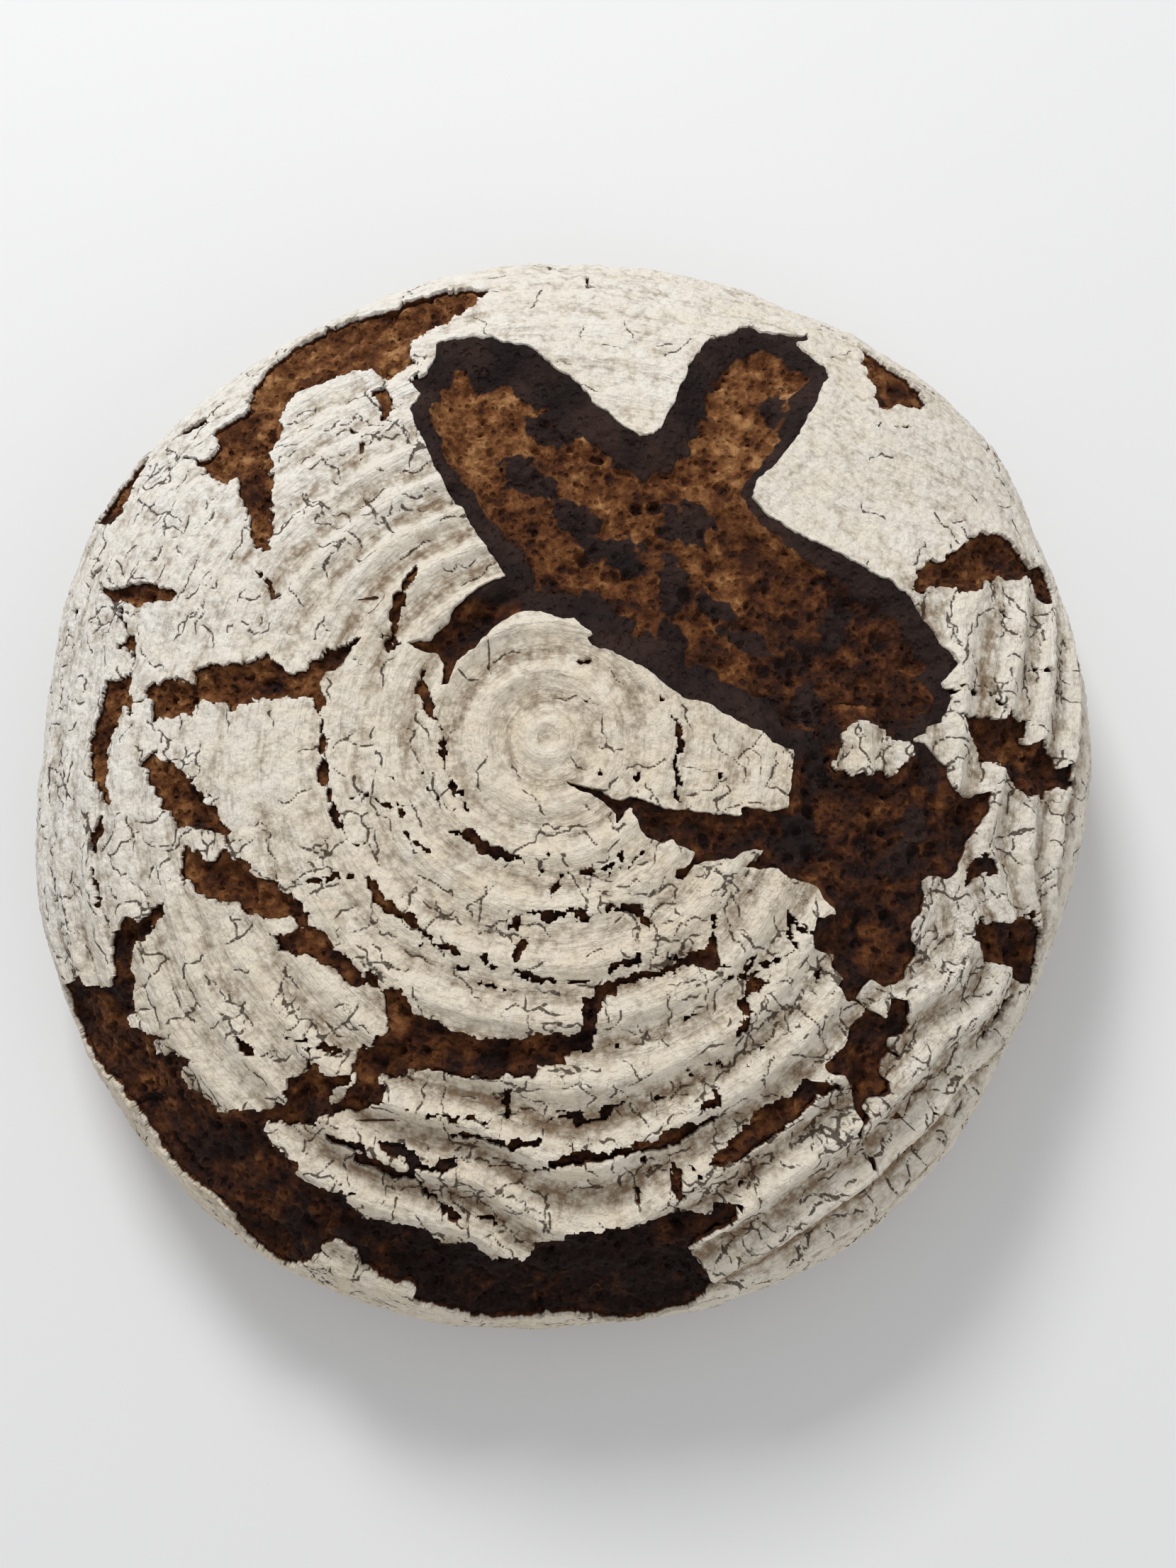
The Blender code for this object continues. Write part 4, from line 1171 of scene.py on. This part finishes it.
def with_group(tree, group, sockets):
    """Places a node group in a tree and fills its sockets."""
    return add_node(tree, "ShaderNodeGroup", sockets, node_tree=group).outputs


def new_material(name):
    material = bpy.data.materials.new(name)
    material.use_nodes = True
    tree = material.node_tree
    shader = tree.nodes["Principled BSDF"]
    return material, tree, shader


def bumped(tree, shader, layers):
    """Adds up bump layers, each a height and its depth in millimetres."""
    total = 0.0
    for height, depth in layers:
        total = maths(tree, "ADD", total, maths(tree, "MULTIPLY", height, depth))
    node = add_node(tree, "ShaderNodeBump", {"Height": total, "Distance": MM, "Strength": 1.0})
    tree.links.new(node.outputs["Normal"], shader.inputs["Normal"])


def along_rings(tree, place, scale, across):
    """Coordinates that stretch a pattern along the rings: steps per metre, and per ring across them."""
    height = maths(tree, "MULTIPLY", channel(tree, "rings"), across)
    out = add_node(tree, "ShaderNodeCombineXYZ", {"Z": height}).outputs[0]
    return vector_maths(tree, "ADD", vector_maths(tree, "MULTIPLY", place, (scale, scale, 0.0)), out)


def crack_network(tree, place, scale, across, opening):
    """A broken web of hairline cracks along the rings, 1 in the cracks; opening is how far they gape."""
    vector = along_rings(tree, place, scale, across)
    wobble = add_node(tree, "ShaderNodeTexNoise", {"Vector": place, "Scale": 750.0, "Detail": 3.0})
    wobble = vector_maths(tree, "MULTIPLY", wobble.outputs["Color"], (0.4, 0.4, 0.4))
    sockets = {"Vector": vector_maths(tree, "ADD", vector, wobble), "Scale": 1.0}
    cells = add_node(tree, "ShaderNodeTexVoronoi", sockets, feature="DISTANCE_TO_EDGE")
    gap = maths(tree, "SUBTRACT", cells.outputs["Distance"], opening)
    return eased(tree, gap, 0.0, 0.01, 1.0, 0.0)


@functools.lru_cache(maxsize=1)
def crust_material():
    """Rye flour baked on to the crust, thin and grey in the cane grooves, torn brown at its edges."""
    colours = bpy.context.scene.loaf_colours
    material, tree, shader = new_material("floured_crust")
    place = add_node(tree, "ShaderNodeTexCoord").outputs["Object"]
    grain = with_group(tree, fine_grain_group(), {"Grains": 1500.0, "Clumping": 0.35})
    lumps = with_group(tree, fine_grain_group(), {"Grains": 620.0, "Clumping": 0.6})
    blotches = noise_texture(tree, place, 150.0, 3.0)

    # Fine strands that the cane presses in, stretched along the rings.
    strands = noise_texture(tree, along_rings(tree, place, 110.0, 8.0), 1.0, 3.0, 0.6)

    cream = shifted(tree, channel(tree, "cream"), blotches, 1.0, clamp=True)
    flour = mixed(tree, cream, (*colours.flour, 1.0), (*colours.cream_flour, 1.0))
    bare = shifted(tree, channel(tree, "bare"), strands, -1.1, 0.55)
    bare = shifted(tree, bare, lumps["Mask"], -0.5)
    bare = shifted(tree, bare, grain["Mask"], -0.5, 0.45)
    colour = mixed(tree, eased(tree, bare, 0.05, 1.0), flour, (*colours.thin_flour, 1.0))
    speckle = maths(tree, "MULTIPLY", eased(tree, bare, 0.75, 1.25), 0.7)
    colour = mixed(tree, speckle, colour, SPECKLE_BROWN)

    # Hairline cracks, torn edges and the thickness of the crust.
    toasted = eased(tree, lumps["Height"], 0.2, 0.8, 0.95, 0.5)
    toast = with_group(tree, toasting_group(), {"Amount": toasted})["Color"]
    hair = shifted(tree, channel(tree, "hair"), grain["Height"], 0.35)
    crack = eased(tree, hair, 0.04, 0.2, 1.0, 0.0)
    for scale, across, least in ((60.0, 2.8, 1.27), (130.0, 7.0, 1.2)):
        opening = maths(tree, "MULTIPLY", noise_texture(tree, place, scale * 1.3, 2.0), 1.25)
        opening = maths(tree, "SUBTRACT", opening, maths(tree, "SUBTRACT", least, channel(tree, "cracked")))
        opening = maths(tree, "MULTIPLY", opening, 0.05)
        web = crack_network(tree, place, scale, across, maths(tree, "MINIMUM", opening, 0.005))
        crack = maths(tree, "MAXIMUM", crack, maths(tree, "MULTIPLY", web, 0.6))
    colour = mixed(tree, maths(tree, "MULTIPLY", crack, 0.88), colour, CRACK_BROWN)
    wall = shifted(tree, channel(tree, "wall"), lumps["Mask"], 0.3)
    colour = mixed(tree, eased(tree, wall, 0.18, 0.5), colour, toast)
    tree.links.new(colour, shader.inputs["Base Color"])
    shader.inputs["Roughness"].default_value = 0.95
    shader.inputs["Specular IOR Level"].default_value = 0.15
    bumped(tree, shader, ((strands, 1.2), (lumps["Height"], 0.9), (grain["Height"], 0.7)))
    return material


@functools.lru_cache(maxsize=1)
def crumb_material():
    """Torn rye crumb: porous and charred on the cut skin, with painted light and shade: lighter where it
    faces the light and on raised lumps, darker in shade, in hollows and in pores.
    """
    material, tree, shader = new_material("torn_crumb")
    place = add_node(tree, "ShaderNodeTexCoord").outputs["Object"]
    grain = with_group(tree, fine_grain_group(), {"Grains": 1300.0, "Clumping": 0.3})
    lumps = with_group(tree, fine_grain_group(), {"Grains": 420.0, "Clumping": 0.5})
    patches = noise_texture(tree, place, 95.0, 3.0, 0.6)
    pores = add_node(tree, "ShaderNodeTexVoronoi", {"Vector": place, "Scale": 520.0}, feature="F1")
    pore = eased(tree, pores.outputs["Distance"], 0.12, 0.42, 1.0, 0.0)

    # Painted light and shade: the crumb is painted lighter where it faces the light and darker where it lies
    # in shade.
    amount = shifted(tree, 0.83, channel(tree, "painted_light"), -0.52, 0.0)
    # Painted light and shade: the lumps and grain heights make raised crumb lighter and its hollows darker;
    # the patches are the crumb's own tone.
    for value, share in ((patches, -1.5), (lumps["Height"], -1.15), (grain["Height"], -0.7)):
        amount = shifted(tree, amount, value, share)
    # Painted shade in the pores: darker by their depth and in the pore cells.
    amount = shifted(tree, amount, channel(tree, "pore_shade"), 0.22, 0.0)
    amount = shifted(tree, amount, pore, 0.18, 0.0, clamp=True)
    crumb = with_group(tree, toasting_group(), {"Amount": amount})["Color"]
    charred = eased(tree, shifted(tree, channel(tree, "char"), lumps["Height"], 1.1), 0.3, 0.8)
    # Painted shade and painted light on the char: its shaded black and lit brown copies are mixed in random
    # patches.
    char = mixed(tree, eased(tree, patches, 0.3, 0.7), SHADED_CHAR_BLACK, LIT_CHAR_BROWN)
    colour = mixed(tree, charred, crumb, char)
    colour = mixed(tree, eased(tree, channel(tree, "wall"), 0.2, 0.8), colour, WALL_BROWN)
    tree.links.new(colour, shader.inputs["Base Color"])
    tree.links.new(eased(tree, grain["Mask"], 0.0, 1.0, 0.85, 0.5), shader.inputs["Roughness"])
    shader.inputs["Specular IOR Level"].default_value = 0.14
    bumped(tree, shader, ((lumps["Height"], 2.4), (pore, -0.8), (grain["Height"], 0.9)))
    return material


@functools.lru_cache(maxsize=1)
def base_material():
    """The baked underside: toasted brown with a dusting of flour."""
    material, tree, shader = new_material("baked_base")
    place = add_node(tree, "ShaderNodeTexCoord").outputs["Object"]
    grain = with_group(tree, fine_grain_group(), {"Grains": 900.0, "Clumping": 0.4})
    patches = noise_texture(tree, place, 60.0, 4.0, 0.6)
    toasted = eased(tree, patches, 0.25, 0.75, 0.35, 0.8)
    toast = with_group(tree, toasting_group(), {"Amount": toasted})["Color"]
    dust = maths(tree, "MULTIPLY", eased(tree, grain["Height"], 0.45, 0.75), 0.5)
    colour = mixed(tree, dust, toast, (*bpy.context.scene.loaf_colours.cream_flour, 1.0))
    tree.links.new(colour, shader.inputs["Base Color"])
    shader.inputs["Roughness"].default_value = 0.9
    bumped(tree, shader, ((patches, 1.0), (grain["Height"], 0.4)))
    return material


class LoafSizes(bpy.types.PropertyGroup):
    """Sizes a user may change."""

    mesh_step: bpy.props.FloatProperty(
        name="Mesh Step", description="Spacing of the sheet that the crust is cut from",
        default=0.5 * MM, min=0.35 * MM, max=2.0 * MM, precision=5, subtype="DISTANCE", unit="LENGTH",
    )
    crust_thickness: bpy.props.FloatProperty(
        name="Crust Thickness", description="How far the torn edge of the crust goes down",
        default=2.6 * MM, precision=4, subtype="DISTANCE", unit="LENGTH",
    )
    tear_depth: bpy.props.FloatProperty(
        name="Tear Depth", description="How deep the crumb lies in the tears",
        default=3.4 * MM, precision=4, subtype="DISTANCE", unit="LENGTH",
    )
    score_depth: bpy.props.FloatProperty(
        name="Score Depth", description="How deep the crumb lies in the middle of the leaves",
        default=5.0 * MM, precision=4, subtype="DISTANCE", unit="LENGTH",
    )
    burst_depth: bpy.props.FloatProperty(
        name="Burst Depth", description="How deep the crumb lies in the burst on the south side",
        default=5.0 * MM, precision=4, subtype="DISTANCE", unit="LENGTH",
    )
    core_inset: bpy.props.FloatProperty(
        name="Core Inset", description="How far the hidden core stays below the crust",
        default=9.0 * MM, precision=4, subtype="DISTANCE", unit="LENGTH",
    )


class LoafColours(bpy.types.PropertyGroup):
    """Colours a user may change."""

    flour: bpy.props.FloatVectorProperty(
        name="Flour", description="Thick flour on the north-west of the crust",
        default=(0.83, 0.80, 0.74), size=3, min=0.0, max=1.0, subtype="COLOR",
    )
    cream_flour: bpy.props.FloatVectorProperty(
        name="Cream Flour", description="Flour toasted cream towards the south and east",
        default=(0.74, 0.64, 0.49), size=3, min=0.0, max=1.0, subtype="COLOR",
    )
    thin_flour: bpy.props.FloatVectorProperty(
        name="Thin Flour", description="Grey-brown where the flour is thin",
        default=(0.36, 0.29, 0.21), size=3, min=0.0, max=1.0, subtype="COLOR",
    )
    floor: bpy.props.FloatVectorProperty(
        name="Floor", description="The plain floor under the loaf",
        default=(0.72, 0.72, 0.72), size=3, min=0.0, max=1.0, subtype="COLOR",
    )


class LOAF_OT_core(bpy.types.Operator):
    """Makes the closed core under the crust, with the baked base it stands on"""

    bl_idname = "loaf.core"
    bl_label = "Core and Base"

    def execute(self, context):
        sides, rings = 120, 26
        inset = context.scene.loaf_sizes.core_inset / MM
        bpy.ops.object.select_all(action="DESELECT")
        bpy.ops.mesh.primitive_circle_add(vertices=sides, radius=BASE_RADIUS * MM, fill_type="NGON")
        core = context.object
        core.name = core.data.name = "core"
        bpy.ops.object.mode_set(mode="EDIT")
        bpy.ops.mesh.select_all(action="SELECT")
        bpy.ops.mesh.normals_make_consistent(inside=False)
        radius = BASE_RADIUS
        height = 0.0
        for arc in np.linspace(FOOT_ARC - 4.0, 4.0, rings):
            next_radius = float(np.interp(arc, ARC, ARC_RADIUS) - inset * np.interp(arc, ARC, ARC_OUT))
            next_height = float(np.interp(arc, ARC, ARC_HEIGHT) - inset * np.interp(arc, ARC, ARC_UP))
            if next_height <= height + 0.1:
                continue
            bpy.ops.mesh.extrude_region_move(
                TRANSFORM_OT_translate={"value": (0.0, 0.0, (next_height - height) * MM)}
            )
            share = next_radius / radius
            bpy.ops.transform.resize(value=(share, share, 1.0), center_override=(0.0, 0.0, next_height * MM))
            radius, height = next_radius, next_height
        bpy.ops.mesh.select_all(action="SELECT")
        bpy.ops.mesh.normals_make_consistent(inside=False)
        bpy.ops.object.mode_set(mode="OBJECT")
        places = np.empty(len(core.data.vertices) * 3, dtype=np.float32)
        core.data.vertices.foreach_get("co", places)
        places = places.reshape(-1, 3)
        x, y = pressed(places[:, 0] / MM, places[:, 1] / MM)
        places[:, 0], places[:, 1] = (x - CENTRE_X) * MM, (y - CENTRE_Y) * MM
        core.data.vertices.foreach_set("co", places.ravel())
        core.data.update()
        core.data.materials.append(base_material())
        smooth_piece(core)
        loaf_piece(core)
        return {"FINISHED"}


class LOAF_OT_crumb(bpy.types.Operator):
    """Makes the crumb floors that show in the leaves, the tears and the cracks"""

    bl_idname = "loaf.crumb"
    bl_label = "Crumb"

    def execute(self, context):
        sizes = context.scene.loaf_sizes
        crust = peeled_crust(round(sizes.mesh_step / MM, 3))
        # The pore depth carried along here becomes painted shade in the pores.
        lift, char, pore_shade = crumb_relief(crust, sizes)
        # Painted light and shade: how much lighter or darker the crumb is painted where it faces the light or
        # lies in shade.
        painted_light = spread(crust.east, crust.north, PAINTED_LIGHT_SPOTS, 10.0)
        reach = np.minimum(CRUMB_OVERLAP - crust.edge, FOOT_ARC - 0.3 - crust.arc)
        fields = (crust.east, crust.north, lift, char, pore_shade, painted_light)
        values, faces, owners = cut_sheet(reach, fields, crumb_owners(crust))
        channels = ("char", "pore_shade", "painted_light")
        for number, name in enumerate(CRUMB_GROUPS):
            sheet_piece(name, values, faces[owners == number], CRUMB_RIMS, channels, crumb_material())
        return {"FINISHED"}


class LOAF_OT_crust(bpy.types.Operator):
    """Makes the plates of floured crust, with their torn edges"""

    bl_idname = "loaf.crust"
    bl_label = "Crust Plates"

    def execute(self, context):
        sizes = context.scene.loaf_sizes
        crust = peeled_crust(round(sizes.mesh_step / MM, 3))
        thickness = sizes.crust_thickness / MM
        cream = spread(crust.east, crust.north, CREAM_SPOTS, 22.0)
        valley = 0.5 - 0.5 * np.cos(2 * math.pi * crust.rings)
        bare = 0.75 * np.minimum(crust.ridge_height, 1.1) * valley**2
        bare += 0.16 * noise(crust.east, crust.north, 11.0, 91)
        bare += 0.1 * noise(crust.east, crust.north, 4.5, 92)
        bare += 0.3 * smoothstep(135.0, 178.0, crust.arc)
        cracked = 0.5 * np.minimum(spread(crust.east, crust.north, HAIRLINE_SPOTS, 16.0), 1.2)
        looks = (cream, bare, crust.hairlines, crust.rings, cracked)
        fields = (crust.east, crust.north, crust.crust_lift, *looks)
        level = np.minimum(crust.edge, FOOT_ARC - 0.2 - crust.arc)
        values, faces, owners = cut_sheet(level, fields, plate_owners(crust))
        rims = ((0.06, 0.4, 0.15), (0.12, 1.2, 0.6), (-0.2, thickness, 1.0))
        channels = ("cream", "bare", "hair", "rings", "cracked")
        for number, name in enumerate((*PLATES, "islands")):
            sheet_piece(f"crust_{name}", values, faces[owners == number], rims, channels, crust_material())
        return {"FINISHED"}


class LOAF_OT_stage(bpy.types.Operator):
    """Sets up the plain floor, the soft light and the camera"""

    bl_idname = "loaf.stage"
    bl_label = "Stage"

    def execute(self, context):
        scene = context.scene
        bpy.ops.object.select_all(action="DESELECT")
        bpy.ops.mesh.primitive_plane_add(size=8.0)
        floor = context.object
        floor.name = floor.data.name = "floor"
        material, _, shader = new_material("pale_floor")
        shader.inputs["Base Color"].default_value = (*scene.loaf_colours.floor, 1.0)
        shader.inputs["Roughness"].default_value = 0.8
        floor.data.materials.append(material)

        world = bpy.data.worlds.new("soft_room")
        world.use_nodes = True
        world.node_tree.nodes["Background"].inputs["Color"].default_value = (0.97, 0.98, 1.0, 1.0)
        world.node_tree.nodes["Background"].inputs["Strength"].default_value = 0.56
        scene.world = world
        for name, (place, size, power) in LIGHTS.items():
            bpy.ops.object.light_add(type="AREA", location=place)
            light = context.object
            light.name = light.data.name = name
            light.data.size = size
            light.data.energy = power
            aim = -light.location
            light.rotation_euler = aim.to_track_quat("-Z", "Y").to_euler()

        elevation = math.radians(CAMERA_ELEVATION)
        bpy.ops.object.camera_add(
            location=(
                -CENTRE_X * MM,
                (-math.cos(elevation) * CAMERA_DISTANCE - CENTRE_Y) * MM,
                (math.sin(elevation) * CAMERA_DISTANCE + AIM_HEIGHT) * MM,
            ),
            rotation=(math.pi / 2 - elevation, 0.0, 0.0),
        )
        camera = context.object
        camera.name = camera.data.name = "camera"
        camera.data.sensor_fit = "HORIZONTAL"
        camera.data.sensor_width = 36.0
        camera.data.lens = CAMERA_LENS
        camera.data.shift_x, camera.data.shift_y = CAMERA_SHIFT
        camera.data.clip_start, camera.data.clip_end = 0.01, 20.0
        scene.camera = camera
        scene.view_settings.view_transform = "Standard"
        scene.view_settings.look = "None"
        return {"FINISHED"}


class LOAF_PT_panel(bpy.types.Panel):
    """Lists the loaf's pieces and sizes in the sidebar"""

    bl_label = "Round Rye Loaf"
    bl_idname = "LOAF_PT_panel"
    bl_space_type = "VIEW_3D"
    bl_region_type = "UI"
    bl_category = "Loaf"

    def draw(self, context):
        layout = self.layout
        for operator in OPERATORS:
            layout.operator(operator.bl_idname)
        for group in (context.scene.loaf_sizes, context.scene.loaf_colours):
            for key in group.__annotations__:
                layout.prop(group, key)


OPERATORS = (LOAF_OT_core, LOAF_OT_crumb, LOAF_OT_crust, LOAF_OT_stage)
CLASSES = (LoafSizes, LoafColours, *OPERATORS, LOAF_PT_panel)


def register():
    for cls in CLASSES:
        bpy.utils.register_class(cls)
    bpy.types.Scene.loaf_sizes = bpy.props.PointerProperty(type=LoafSizes)
    bpy.types.Scene.loaf_colours = bpy.props.PointerProperty(type=LoafColours)


def unregister():
    del bpy.types.Scene.loaf_colours
    del bpy.types.Scene.loaf_sizes
    for cls in reversed(CLASSES):
        bpy.utils.unregister_class(cls)


def main():
    register()
    bpy.ops.loaf.core()
    bpy.ops.loaf.crumb()
    bpy.ops.loaf.crust()
    bpy.ops.loaf.stage()


if __name__ == "__main__":
    main()
